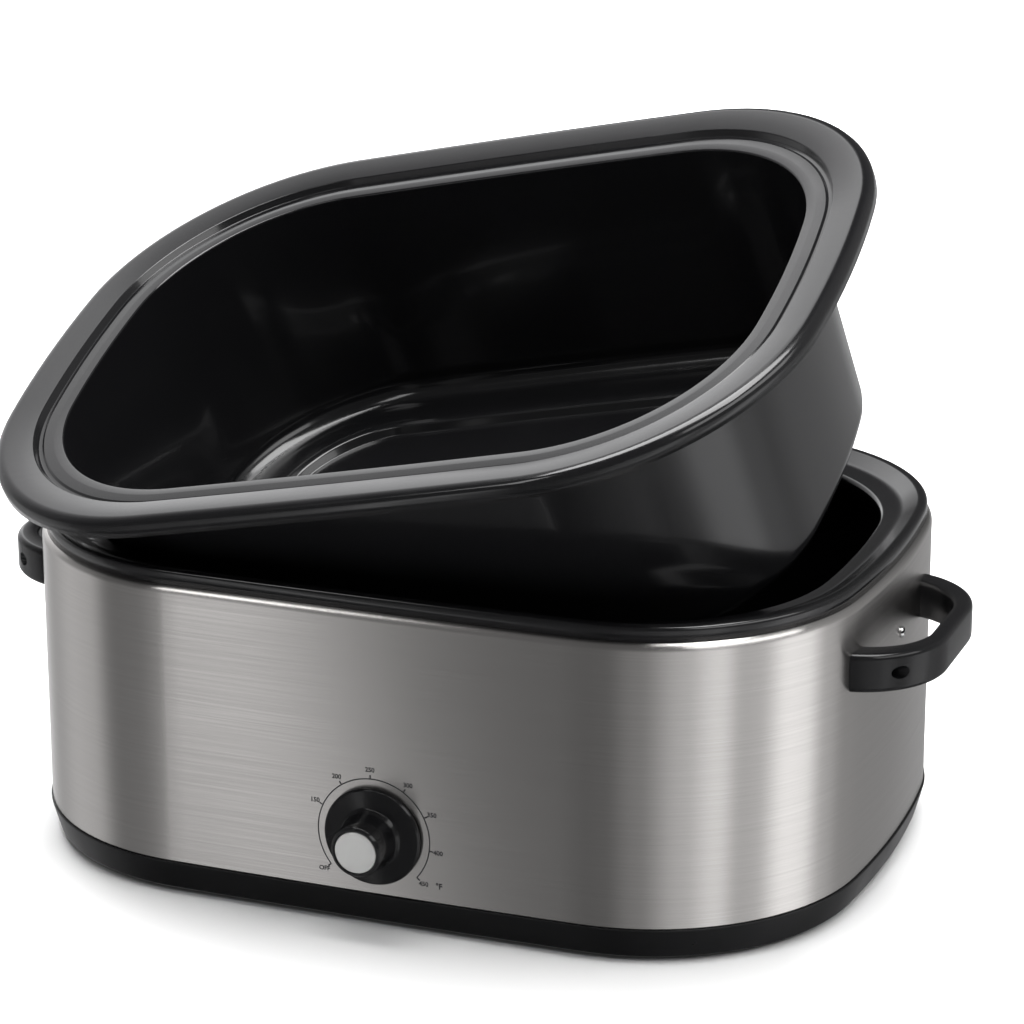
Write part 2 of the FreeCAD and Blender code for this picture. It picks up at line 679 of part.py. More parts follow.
def make_heat_shield():
    """Bright sheet between the well and the tray, held on the tray's bosses."""
    edge, level = -value("shield_inset"), value(SHIELD_LEVEL)
    path = [(edge, level + value("shield_flange")), (edge - 1, level + 1), (edge - 2, level)]
    path += [(edge - FLOOR_REACH, level)]
    path = [(outward, height + value("shield_sheet")) for outward, height in path]
    blank = feature("shield_blank", sheet_dish(base_oval, path, value("shield_sheet")))
    drills = []
    for name, x, y in corners_of("post_spacing_long", "post_spacing_wide"):
        drills.append(rod("shield_hole_" + name, SCREW_HOLE, "6",
                          (str(x), str(y), SHIELD_LEVEL + " - 3")))
    node(cut("shield_drilled", blank, drills), "heat_shield")


# ---------------------------------------------------------------- control

def make_thermostat():
    """Thermostat body behind the wrap, its bracket, and the bracket's two screws."""
    body = box("thermostat_block", ("thermostat_wide", "thermostat_deep", "thermostat_tall"),
               ("dial_offset - thermostat_wide / 2", THERMOSTAT_FACE,
                "dial_level - thermostat_tall / 2"))
    bore = rod("thermostat_bore", "shaft_radius + shaft_running_gap", "shaft_depth + 2.5",
               ("dial_offset", THERMOSTAT_FACE + " - 2", "dial_level"), ALONG_Y)
    screw_room = []
    for name, sign in (("left", "-"), ("right", "+")):
        screw_room.append(rod("thermostat_relief_" + name, "machine_screw_radius + 0.6", "6",
                              ("dial_offset %s bracket_screw_spacing / 2" % sign,
                               THERMOSTAT_FACE + " - 1", "dial_level"), ALONG_Y))
    node(cut("thermostat_bored", body, [bore] + screw_room), "thermostat_body")

    plate = box("bracket_plate", ("bracket_screw_spacing + 16", "bracket_sheet",
                                  "thermostat_tall - 4"),
                ("dial_offset - bracket_screw_spacing / 2 - 8", BRACKET_FACE,
                 "dial_level - thermostat_tall / 2 + 2"))
    ears = []
    for name, place_x in (("left", "dial_offset - thermostat_wide / 2 - bracket_sheet"),
                          ("right", "dial_offset + thermostat_wide / 2")):
        ears.append(box("bracket_ear_" + name, ("bracket_sheet", "bracket_sheet + thermostat_deep",
                                                "thermostat_tall / 2"),
                        (place_x, BRACKET_FACE, "dial_level - thermostat_tall / 4")))
    holes = [rod("bracket_bore", "shaft_radius + 1.5", "6",
                 ("dial_offset", BRACKET_FACE + " - 2", "dial_level"), ALONG_Y)]
    for name, sign in (("left", "-"), ("right", "+")):
        holes.append(rod("bracket_thread_" + name, "machine_screw_radius", "8",
                         ("dial_offset %s bracket_screw_spacing / 2" % sign,
                          BRACKET_FACE + " - 2", "dial_level"), ALONG_Y))
    node(cut("bracket_drilled", fused("bracket_blank", [plate] + ears), holes),
         "thermostat_bracket")

    screw = turned("bracket_screw", (
        ("0", "1.6"), ("screw_head_radius * 0.7", "1.6"), ("screw_head_radius", "0"),
        ("machine_screw_radius", "0"), ("machine_screw_radius", "-5"), ("0", "-5")))
    y = value(FRONT)
    spots = [Placement(Vector(value("dial_offset") + side * value("bracket_screw_spacing") / 2, y,
                              value("dial_level")), FACING_FRONT) for side in (-1, 1)]
    node(copies("bracket_screws", screw, spots), "thermostat_screws")


def make_knob_group():
    """Shaft, knob, its silver insert and the spring ring round its hub: all turn together."""
    shaft_start = THERMOSTAT_FACE + " + shaft_depth - 0.3"
    knob_back = FRONT + " - knob_gap"
    shaft_length = "(%s) - (%s) + knob_length - 9" % (shaft_start, knob_back)
    shaft = turned("shaft", (
        ("0", "0"), ("shaft_radius", "0"), ("shaft_radius", shaft_length), ("0", shaft_length)))
    node(place(shaft, "dial_offset", shaft_start, "dial_level", FACING_FRONT), "thermostat_shaft")

    knob = turned("knob_body", (
        ("shaft_radius", "0"), ("shaft_radius + 4", "0"), ("shaft_radius + 4", "2.6"),
        ("knob_radius - 3.5", "2.6"), ("knob_radius - 2.5", "0"), ("knob_radius - 0.6", "0"),
        ("knob_radius", "1"), ("knob_radius - 0.2", "knob_skirt - 1.8"),
        ("knob_radius - 1.6", "knob_skirt - 0.6"), ("grip_radius + 2", "knob_skirt + 0.4"),
        ("grip_radius", "knob_skirt + 2"), ("grip_end_radius", "knob_length - 1.5"),
        ("grip_end_radius - 1.4", "knob_length"), ("insert_radius", "knob_length"),
        ("insert_radius", "knob_length - insert_thickness"),
        ("0", "knob_length - insert_thickness"), ("0", "knob_length - 9"),
        ("shaft_radius", "knob_length - 9")))
    node(place(knob, "dial_offset", knob_back, "dial_level", FACING_FRONT), "knob")

    insert = turned("insert", (
        ("0", "0"), ("insert_radius", "0"), ("insert_radius", "insert_thickness - 0.5"),
        ("insert_radius - 0.5", "insert_thickness"), ("0", "insert_thickness")))
    node(place(insert, "dial_offset", knob_back + " - knob_length + insert_thickness",
               "dial_level", FACING_FRONT), "knob_insert")

    spring = turned("spring", (
        ("shaft_radius + 4", "0.4"), ("shaft_radius + 4.8", "0.4"),
        ("shaft_radius + 4.8", "2.0"), ("shaft_radius + 4", "2.0")))
    node(place(spring, "dial_offset", knob_back, "dial_level", FACING_FRONT), "knob_spring")


def bent_tube(points, radius):
    """A round tube along straight runs that tangent arcs join."""
    points = [Vector(*point) for point in points]
    edges = []
    last = points[0]
    for before, corner, after in zip(points, points[1:], points[2:]):
        into, out = (corner - before), (after - corner)
        trim = 0.45 * min(into.Length, out.Length)
        start = corner - into.normalize() * trim
        end = corner + out.normalize() * trim
        turn = math.acos(max(-1.0, min(1.0, into.dot(out))))
        arc_radius = trim / math.tan(turn / 2)
        inward = (out - into).normalize()
        middle = corner + inward * (arc_radius / math.cos(turn / 2) - arc_radius)
        edges.append(Part.LineSegment(last, start).toShape())
        edges.append(Part.Arc(start, middle, end).toShape())
        last = end
    edges.append(Part.LineSegment(last, points[-1]).toShape())
    spine = Part.Wire(edges)
    ring = Part.Wire(Part.Circle(points[0], points[1] - points[0], radius).toShape())
    return spine.makePipeShell([ring], True, False)


def make_sensor():
    """Sensing bulb clipped under the well's floor, and its capillary tube from the thermostat."""
    bulb_y = value(FRONT) + 85
    bulb_z = value(WELL_BOTTOM) - value("bulb_radius") - 0.1
    half = value("bulb_length") / 2
    bulb = rod("bulb_rod", "bulb_radius", "bulb_length", (str(-half), str(bulb_y), str(bulb_z)),
               ALONG_X)
    node(bulb, "sensing_bulb")

    clip_radius = value("bulb_radius") + 0.8
    clips = []
    for x in (-25.0, 25.0):
        start = Vector(x - 4, bulb_y, bulb_z)
        ring = Part.makeCylinder(clip_radius, 8, start, Vector(1, 0, 0))
        wing = Part.makeBox(8, 24, 0.8, Vector(x - 4, bulb_y - 12, value(WELL_BOTTOM) - 0.8))
        bore = Part.makeCylinder(value("bulb_radius"), 8, start, Vector(1, 0, 0))
        above = Part.makeBox(8, 30, 10, Vector(x - 4, bulb_y - 15, value(WELL_BOTTOM)))
        clips.append(ring.fuse(wing).cut(bore).cut(above))
    node(feature("clips", Part.makeCompound(clips)), "bulb_clips")

    x = value("dial_offset") + 8
    y = value(THERMOSTAT_FACE) + 12
    low = value("dial_level - thermostat_tall / 2")
    route = [(x, y, low), (x, y, low - 12), (x + 10, y + 30, low - 14), (x + 48, y + 50, bulb_z - 8),
             (x + 48, bulb_y, bulb_z), (half, bulb_y, bulb_z)]
    node(feature("capillary", bent_tube(route, value("capillary_radius"))), "capillary_tube")


def fuse_axis_y():
    """The fuse's place along Y, its clip just off the front of the well."""
    well_back = base_oval(-value(WELL_FACE) + value("well_sheet")).half_width
    return -well_back - value("fuse_radius + fuse_clip_sheet + layer_gap")


def make_thermal_fuse():
    """Thermal fuse held against the front of the well by a clip."""
    radius, gauge = value("fuse_radius"), value("fuse_clip_sheet")
    centre = Vector(value("fuse_offset"), fuse_axis_y(), value("fuse_level"))
    along = Vector(1, 0, 0)
    fuse_shape = Part.makeCylinder(radius, 12, centre, along)
    pins = Part.makeCylinder(0.6, 24, centre - Vector(6, 0, 0), along)
    node(feature("fuse", fuse_shape.fuse(pins)), "thermal_fuse")
    outer = Part.makeCylinder(radius + gauge, 6, centre + Vector(3, 0, 0), along)
    tab = Part.makeBox(6, gauge, 14, centre + Vector(3, radius, 0))
    bore = Part.makeCylinder(radius, 6, centre + Vector(3, 0, 0), along)
    node(feature("clip", outer.fuse(tab).cut(bore)), "fuse_clip")


# ---------------------------------------------------------------- cord entry and leads

def make_terminal_block():
    """Ceramic block on the heat shield, where the supply joins the inner leads."""
    node(box("block", ("40", "16", "14"), ("gland_offset - 20", BACK + " - 52", SHIELD_TOP)),
         "terminal_block")


def make_cord_gland():
    """Snap-in bushing through the wrap's back, whose outer lip grips the cord."""
    gland = turned("gland", (
        ("gland_relief_radius", "-8"), ("gland_radius + 0.8", "-8"), ("gland_radius + 0.8", "-1.3"),
        ("gland_radius", "-1.3"), ("gland_radius", "0"), ("gland_flange_radius", "0"),
        ("gland_flange_radius", "gland_flange * 0.6"), ("gland_flange_radius - 1", "gland_flange"),
        ("gland_bore_radius", "gland_flange"), ("gland_bore_radius", "gland_flange - gland_lip"),
        ("gland_relief_radius", "gland_flange - gland_lip - 0.5")))
    node(place(gland, "gland_offset", BACK, "gland_level", ALONG_Y), "cord_gland")


def make_leads():
    """Insulated leads from the terminal block to the thermostat, the fuse and the heater band."""
    radius = value("lead_radius")
    deck = value(SHIELD_TOP) + radius + 0.2
    block_front = value(BACK) - 52
    thermostat_bottom = value("dial_level - thermostat_tall / 2")
    front_y = value(THERMOSTAT_FACE) + 9
    left_x = value("dial_offset") - 12
    block_x = value("gland_offset")
    line = [(block_x - 10, block_front, deck + 4), (block_x - 12, block_front - 30, deck),
            (left_x + 20, 60, deck), (left_x - 6, -60, deck), (left_x, front_y + 25, deck),
            (left_x, front_y, deck + 12), (left_x, front_y, thermostat_bottom)]
    node(feature("line", bent_tube(line, radius)), "wire_line")

    blade_y = base_oval(-value(BAND_OUTSIDE)).half_width + 0.6
    blade_z = value("element_level") - 12
    fuse_x, fuse_y, fuse_z = value("fuse_offset"), fuse_axis_y(), value("fuse_level")
    load = [(fuse_x + 18, fuse_y, fuse_z), (fuse_x + 32, fuse_y, fuse_z),
            (fuse_x + 40, fuse_y + 4, fuse_z - 34), (fuse_x + 42, fuse_y + 40, deck + 2),
            (100, -60, deck), (86, 60, deck), (108, 150, deck), (90, blade_y - 4, deck + 16),
            (48, blade_y + 2, blade_z - 18), (34, blade_y, blade_z - 10), (34, blade_y, blade_z)]
    node(feature("load", bent_tube(load, radius)), "wire_load")

    neutral = [(block_x - 20, block_front + 8, deck + 4), (block_x - 50, block_front + 10, deck + 4),
               (-10, blade_y - 8, deck + 16), (-34, blade_y, blade_z - 22), (-34, blade_y, blade_z)]
    node(feature("neutral", bent_tube(neutral, radius)), "wire_neutral")

    x = value("dial_offset") + 22
    bridge = [(x + 1.2 + radius, front_y - 4, fuse_z), (x + 5, fuse_y, fuse_z),
              (fuse_x - 6, fuse_y, fuse_z)]
    node(feature("bridge", bent_tube(bridge, radius)), "wire_bridge")


# ---------------------------------------------------------------- handles

def handle_outline(straight, radius, face_x, root_x):
    """Half a loop in plan: from the root along a corner, the bar and the other corner back."""
    middle = value("handle_shift")
    centre_x = face_x - radius
    low, high = middle - straight / 2, middle + straight / 2
    lean = radius * math.sqrt(0.5)
    points = [Vector(root_x, low - radius, 0), Vector(centre_x, low - radius, 0),
              Vector(centre_x + lean, low - lean, 0), Vector(face_x, low, 0),
              Vector(face_x, high, 0), Vector(centre_x + lean, high + lean, 0),
              Vector(centre_x, high + radius, 0), Vector(root_x, high + radius, 0)]
    edges = [Part.LineSegment(points[0], points[1]).toShape(),
             Part.Arc(points[1], points[2], points[3]).toShape(),
             Part.LineSegment(points[3], points[4]).toShape(),
             Part.Arc(points[4], points[5], points[6]).toShape(),
             Part.LineSegment(points[6], points[7]).toShape(),
             Part.LineSegment(points[7], points[0]).toShape()]
    return Part.Face(Part.Wire(edges))


def handle_shape():
    """The right handle: a flat loop with rounded edges whose two feet follow the wrap."""
    outer_x = value("wrap_length / 2 + handle_reach")
    inner_x = outer_x - value("handle_bar")
    root_x = min(value("wrap_length / 2") - 24, outer_x - value("handle_outer_radius") - 5)
    outer = handle_outline(value("handle_straight"), value("handle_outer_radius"), outer_x, root_x)
    inner = handle_outline(value("handle_inner_straight"), value("handle_inner_radius"), inner_x,
                           root_x - 5)
    tall = value("handle_tall")
    loop = outer.cut(inner).extrude(Vector(0, 0, tall))
    loop.translate(Vector(0, 0, value("handle_level") - tall / 2))
    rims = []
    for edge in loop.Edges:
        flat = edge.BoundBox.ZLength < 0.001
        if flat and edge.BoundBox.XMax > root_x + 1:
            rims.append(edge)
    loop = loop.makeFillet(value("handle_edge"), rims)
    wrap_block = base_oval(0).face(0).extrude(Vector(0, 0, value(WRAP_TOP)))
    loop = loop.cut(wrap_block)
    seat_x = value("wrap_length / 2 + handle_screw_seat")
    for side, y in handle_screw_spots():
        if side < 0:
            continue
        low = Vector(root_x, y, value("handle_level"))
        hole = Part.makeCylinder(value(SCREW_HOLE), 60, low, Vector(1, 0, 0))
        sink = Part.makeCylinder(value("screw_head_radius") + 0.6, 60,
                                 Vector(seat_x, y, value("handle_level")), Vector(1, 0, 0))
        loop = loop.cut(hole).cut(sink)
    return loop


def make_handles():
    """Two black handles, the left one the right one's mirror image."""
    right = handle_shape()
    node(feature("right_handle", right), "handle_right")
    node(feature("left_handle", right.mirror(Vector(0, 0, 0), Vector(1, 0, 0))), "handle_left")


def make_handle_fixings():
    """Backing plates inside the wrap, with the handles' screws and nuts."""
    gauge, plate = value("wrap_sheet"), value("plate_sheet")
    half = value("handle_tall / 2")
    low = value("handle_level") - half
    outside = -gauge - value("layer_gap")
    ring = plain_ring(base_oval, outside - plate, outside, low, low + 2 * half)
    span = value("handle_screw_spacing") + 18
    for name, side in (("left", -1), ("right", 1)):
        corner = Vector(-400 if side < 0 else 200, value("handle_shift") - span / 2, 0)
        piece = ring.common(Part.makeBox(200, span, value(CREST), corner))
        for screw_side, y in handle_screw_spots():
            if screw_side == side:
                start = Vector(side * value("wrap_length / 2 - 40"), y, value("handle_level"))
                piece = piece.cut(Part.makeCylinder(value(SCREW_HOLE), 60, start,
                                                    Vector(side, 0, 0)))
        start = Vector(side * value("wrap_length / 2 - 40"), 0, value(END_SCREW_LEVEL))
        piece = piece.cut(Part.makeCylinder(value("machine_screw_radius"), 60, start,
                                            Vector(side, 0, 0)))
        node(feature("plate_" + name, piece), "handle_plate_" + name)

    seat = value("wrap_length / 2 + handle_screw_seat")
    nuts, screws = [], []
    for side, y in handle_screw_spots():
        reach = value("nut_radius")
        inner = min(wrap_end_x(y - reach, outside - plate), wrap_end_x(y + reach, outside - plate))
        centre = Vector(side * inner, y, value("handle_level"))
        nut = Part.makeCylinder(value("nut_radius"), value("nut_height"), centre,
                                Vector(-side, 0, 0))
        bore = Part.makeCylinder(value("machine_screw_radius"), value("nut_height") + 2,
                                 centre + Vector(side, 0, 0), Vector(-side, 0, 0))
        nuts.append(nut.cut(bore))
        head = Part.makeCylinder(value("screw_head_radius"), value("screw_head_height"),
                                 Vector(side * seat, y, value("handle_level")),
                                 Vector(side, 0, 0))
        length = seat - inner + value("nut_height") + 1
        shank = Part.makeCylinder(value("machine_screw_radius"), length,
                                  Vector(side * seat, y, value("handle_level")),
                                  Vector(-side, 0, 0))
        screws.append(head.fuse(shank))
    node(feature("nuts", Part.makeCompound(nuts)), "handle_nuts")
    node(feature("screws", Part.makeCompound(screws)), "handle_screws")


def make_end_screws():
    """Bright screw in the middle of each end, from outside into the backing plate."""
    screw = pan_head_screw("end_screw", "6")
    level = value(END_SCREW_LEVEL)
    half = value("wrap_length") / 2
    spots = [Placement(Vector(side * half, 0, level), Rotation(Vector(0, 1, 0), side * 90))
             for side in (-1, 1)]
    node(copies("ends", screw, spots), "end_screws")


# ---------------------------------------------------------------- pan

def pan_flange_start():
    """Inner edge of the rim's flange, above the groove, as outward distance and height."""
    return value("mouth_ring") + 4.5, value("flange_step") + 0.1


def pan_points():
    """Inner and top face of the pan, from the rim's outer skirt to the floor's middle."""
    width, rise, roll = value("rim_width"), value("rim_rise"), value("rim_roll")
    path = [(width, rise - value("rim_skirt"))]
    path += bend((width - roll, rise - roll), roll, 0, 90)
    ring, top = value("mouth_ring"), value("mouth_ring_height")
    groove, step = value("groove_level"), value("flange_step")
    path += [pan_flange_start(), (ring + 3.2, step - 0.4), (ring + 2.2, groove + 0.5),
             (ring + 1.4, groove), (ring, groove), (ring - 1.4, top - 0.3), (ring / 2, top),
             (2.2, top - 0.2), (0.6, 0.2), (0, -1.2)]
    wall = -value("pan_draft")
    floor = -value("pan_depth") + value("pan_sheet")
    radius = value("pan_floor_radius")
    path += bend((wall - radius, floor + radius), radius, 0, -90)
    rib_outer, rib = wall - value("rib_inset"), value("rib_width")
    tall = value("rib_height")
    path += [(rib_outer, floor), (rib_outer - rib * 0.18, floor + tall * 0.7),
             (rib_outer - rib * 0.5, floor + tall), (rib_outer - rib * 0.82, floor + tall * 0.7),
             (rib_outer - rib, floor)]
    path += [(rib_outer - rib - 15, floor)]
    return path


def pan_seat_height():
    """Height of the seated pan's opening edge, its flange just above the collar's crest."""
    crest_outward = value("wrap_length / 2") - 6.6 - pan_oval(0).half_length
    flange_start, flange_low = pan_flange_start()
    flange_end = value("rim_width - rim_roll")
    slope = (value("rim_rise") - flange_low) / (flange_end - flange_start)
    underside = flange_low + slope * (crest_outward - flange_start) - value("pan_sheet")
    return value(CREST) + value("pan_seat_gap") - underside


def make_pan():
    """Drawn pan, tipped up out of the well about an axis beside one corner."""
    seat = pan_seat_height()
    heading = value("pan_heading")
    opening = base_oval(-value("collar_width"))
    distance = opening.reach(heading) + value("pivot_beyond")
    direction = Vector(math.cos(math.radians(heading)), math.sin(math.radians(heading)), 0)
    pivot = direction * distance + Vector(0, 0, seat - value("pivot_drop"))
    axis = Vector(-direction.y, direction.x, 0)
    tipping = Rotation(axis, value("pan_tilt"))
    seated = Vector(0, 0, seat)
    tipped = pivot + tipping.multVec(seated - pivot)
    shape = sheet_dish(pan_oval, pan_points(), value("pan_sheet"))
    node(feature("pan_shell", shape, Placement(tipped, tipping)), "pan")
    print("pan: seat height %.3f, pivot %s, axis %s" % (seat, pivot, axis))


# ---------------------------------------------------------------- build, check and write

def check_document():
    """Stops at any object that failed or any sub-part that is not a valid solid."""
    for item in doc.Objects:
        if "Invalid" in item.State or "Error" in item.State:
            raise RuntimeError("%s is %s" % (item.Label, item.State))
    for item in nodes:
        shape = item.Shape
        if shape.isNull() or not shape.isValid() or not shape.Solids:
            raise RuntimeError("%s has no valid solid" % item.Label)


def write_parts():
    os.makedirs("parts", exist_ok=True)
    for item in nodes:
        item.Shape.exportStep("parts/%s.step" % item.Label)
        print("%-22s %2d solids %12.1f mm3" % (item.Label, len(item.Shape.Solids),
                                               item.Shape.Volume))


def main():
    fill_sheet()
    make_base_tray()
    make_feet()
    make_posts_and_screws()
    make_outer_wrap()
    make_seam_rivets()
    make_top_collar()
    make_inner_well()
    make_heating_element()
    make_element_clamp()
    make_element_terminals()
    make_insulation_blanket()
    make_heat_shield()
    make_thermostat()
    make_knob_group()
    make_sensor()
    make_thermal_fuse()
    make_terminal_block()
    make_cord_gland()
    make_leads()
    make_handles()
    make_handle_fixings()
    make_end_screws()
    make_pan()
    doc.recompute()
    check_document()
    write_parts()


main()
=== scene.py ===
# %% [markdown]
# # An electric roaster oven
# The real object is a steel box on a black tray. A heated well hangs in it, and a loose enamelled
# pan drops into the well. The CAD frame already holds every part at its true size and place. This
# lesson gives the visible parts their soft bends, their finishes and their light.

# %% Load the CAD frame
import json
import math
from collections import namedtuple

import bmesh
import bpy
from mathutils import Matrix, Quaternion, Vector


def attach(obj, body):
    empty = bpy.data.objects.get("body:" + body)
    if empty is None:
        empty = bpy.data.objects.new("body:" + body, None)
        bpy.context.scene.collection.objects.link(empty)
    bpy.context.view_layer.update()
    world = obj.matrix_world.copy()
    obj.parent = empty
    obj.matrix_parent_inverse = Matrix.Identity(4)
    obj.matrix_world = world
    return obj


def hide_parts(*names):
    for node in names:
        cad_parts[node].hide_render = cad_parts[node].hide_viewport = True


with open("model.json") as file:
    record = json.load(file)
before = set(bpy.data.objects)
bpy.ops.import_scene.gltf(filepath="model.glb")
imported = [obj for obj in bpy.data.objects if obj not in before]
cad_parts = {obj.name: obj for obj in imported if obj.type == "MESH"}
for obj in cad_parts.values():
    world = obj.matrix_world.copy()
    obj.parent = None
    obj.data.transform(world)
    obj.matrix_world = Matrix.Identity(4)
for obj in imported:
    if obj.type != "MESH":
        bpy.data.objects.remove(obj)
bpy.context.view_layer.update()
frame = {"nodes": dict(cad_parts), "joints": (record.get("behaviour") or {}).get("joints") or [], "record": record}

MM = 0.001
scene = bpy.context.scene

# %% [markdown]
# ## Camera
# A long lens from well back keeps the box's edges almost parallel, as in a catalogue picture. The
# camera could be turned by hand, but an azimuth, an elevation and a distance are easier to reason
# about: the camera looks at a point in the middle of the object.

# %% Camera
VIEW_TARGET = Vector((0.015951, -0.00005, 0.207223))
VIEW_AZIMUTH, VIEW_ELEVATION, VIEW_ROLL = 20.894, 18.467, -0.101  # degrees
VIEW_DISTANCE = 2.52394
SENSOR_WIDTH, LENS_LENGTH = 36.0, 135.91


def mm(x, y, z):
    """A point given in millimetres."""
    return Vector((x, y, z)) * MM


def add_object(name, data):
    """Links a new object for this data into the scene."""
    made = bpy.data.objects.new(name, data)
    scene.collection.objects.link(made)
    return made


def towards(bearing, rise):
    """Unit vector to a bearing and a height angle, in degrees; bearing 0 is in front."""
    bearing, rise = math.radians(bearing), math.radians(rise)
    return Vector((math.sin(bearing) * math.cos(rise), -math.cos(bearing) * math.cos(rise),
                   math.sin(rise)))


def place_camera():
    lens = bpy.data.cameras.new("studio_camera")
    lens.sensor_width = SENSOR_WIDTH
    lens.lens = LENS_LENGTH
    away = towards(VIEW_AZIMUTH, VIEW_ELEVATION)
    camera = add_object("studio_camera", lens)
    camera.location = VIEW_TARGET + away * VIEW_DISTANCE
    roll = Quaternion((0, 0, 1), math.radians(VIEW_ROLL))
    camera.rotation_euler = ((-away).to_track_quat("-Z", "Y") @ roll).to_euler()
    scene.camera = camera
    return camera


camera = place_camera()
scene.view_settings.view_transform = "Standard"
print("camera at", [round(c, 3) for c in camera.location])

# %% [markdown]
# ## Floor and light
# Steel and black enamel have hardly any colour of their own: what one sees is the room in them.
# So the room matters more than the paint. The floor is pale, but brushed steel would mirror it and
# turn flat white, so the floor is hidden from mirror rays only; in a studio, black card is laid in
# front of the steel for the same reason. Two windows give the bent shoulders their short, bright
# lines. The room's dim wall then carries soft bands of light at chosen bearings: a low row that the
# upright steel mirrors, and a high row for the pan's tipped rim. They could be area lights, but
# bands painted on the world keep the same bearing for every point of a flat wall, as tall windows
# far away do. Far from the object the floor glows a little and the room looks plain white to the
# camera, as the sweep of paper behind a catalogue picture does.

# %% Floor
FLOOR_LEVEL = -0.003
FLOOR_SIZE = 40.0
GLOW_FROM, GLOW_TO = 1.2, 3.5  # metres from the middle


def as_mesh(name, bm):
    """Turns a bmesh into a mesh and frees it."""
    mesh = bpy.data.meshes.new(name)
    bm.to_mesh(mesh)
    bm.free()
    return mesh


def lay_floor():
    bm = bmesh.new()
    bmesh.ops.create_grid(bm, x_segments=1, y_segments=1, size=FLOOR_SIZE)
    bmesh.ops.translate(bm, verts=bm.verts, vec=(0, 0, FLOOR_LEVEL))
    mesh = as_mesh("studio_floor", bm)
    floor = add_object("studio_floor", mesh)
    floor.visible_glossy = False
    paint = bpy.data.materials.new("floor_paint")
    paint.use_nodes = True
    tree = paint.node_tree
    shader = tree.nodes["Principled BSDF"]
    shader.inputs["Base Color"].default_value = (0.9, 0.9, 0.9, 1)
    shader.inputs["Roughness"].default_value = 0.9
    shader.inputs["Specular IOR Level"].default_value = 0.1
    shader.inputs["Emission Color"].default_value = (1, 1, 1, 1)
    place = tree.nodes.new("ShaderNodeTexCoord")
    distance = tree.nodes.new("ShaderNodeVectorMath")
    distance.operation = "LENGTH"
    glow = tree.nodes.new("ShaderNodeMapRange")
    glow.inputs["From Min"].default_value = GLOW_FROM
    glow.inputs["From Max"].default_value = GLOW_TO
    tree.links.new(place.outputs["Object"], distance.inputs[0])
    tree.links.new(distance.outputs["Value"], glow.inputs["Value"])
    tree.links.new(glow.outputs["Result"], shader.inputs["Emission Strength"])
    mesh.materials.append(paint)


lay_floor()
print("floor laid at", FLOOR_LEVEL)

# %% Softboxes
AIM_LEVEL = 150.0
# name, bearing, height angle, distance, width, height, watts, seen in gloss
SOFTBOXES = (
    ("top_box", 0, 87, 2.3, 2.4, 1.2, 85, True),
    ("floor_wash", -161, 45, 3.8, 5.0, 3.0, 285, False),
    ("left_window", -34, 40, 3.0, 0.46, 0.9, 4.8, True),
    ("right_window", 72, 38, 3.0, 2.9, 1.1, 28, True),
)


def hang_softbox(name, bearing, rise, distance, width, height, watts, mirrored):
    light = bpy.data.lights.new(name, "AREA")
    light.shape = "RECTANGLE"
    light.size, light.size_y = width, height
    light.energy = watts
    box = add_object(name, light)
    away = towards(bearing, rise)
    box.location = away * distance + mm(0, 0, AIM_LEVEL)
    box.rotation_euler = away.to_track_quat("Z", "Y").to_euler()
    box.visible_glossy = mirrored


for softbox in SOFTBOXES:
    hang_softbox(*softbox)
print("softboxes:", len(SOFTBOXES))

# %% Bands of light round the room
MIX_A, MIX_B, MIX_RESULT = 6, 7, 2  # the colour sockets of a Mix node
# bearing in degrees (0 straight in front of the dial, 90 to its right) and brightness
LOW_BANDS = ((-180, 0.45), (-160, 0.5), (-149, 0.85), (-118, 0.45), (-95, 0.65), (-78, 0.6),
             (-62, 0.2), (-45, 0.24), (-30.5, 0.36), (-28.3, 0.75), (-27.2, 1.8), (-26.2, 1.8),
             (-25.2, 0.9), (-23.6, 0.36), (-22.4, 0.19), (-17, 0.15), (-5, 0.17), (12, 0.32),
             (36, 0.75), (54, 1.2), (66, 0.68), (75, 0.72), (92, 1.5), (103, 1.45), (118, 0.65),
             (135, 0.37), (160, 0.3), (180, 0.45))
HIGH_BANDS = ((-180, 0.1), (-166, 0.07), (-154, 0.1), (-150, 0.5), (-146.5, 1.8), (-142, 1.75),
              (-136, 1.25), (-130, 0.9), (-118, 0.6), (-95, 0.3), (-60, 0.12), (0, 0.12),
              (60, 0.2), (100, 0.35), (140, 0.3), (180, 0.1))


def band_ramp(tree, bearing, bands):
    """Brightness by bearing. Returns the ramp's colour."""
    ramp = tree.nodes.new("ShaderNodeValToRGB")
    ramp.color_ramp.interpolation = "EASE"
    stops = ramp.color_ramp.elements
    for degrees, _ in bands[1:-1]:
        stops.new((degrees + 180) / 360)
    for stop, (_, level) in zip(stops, bands):
        stop.color = (level, level, level * 1.01, 1)
    tree.links.new(bearing, ramp.inputs["Fac"])
    return ramp.outputs["Color"]


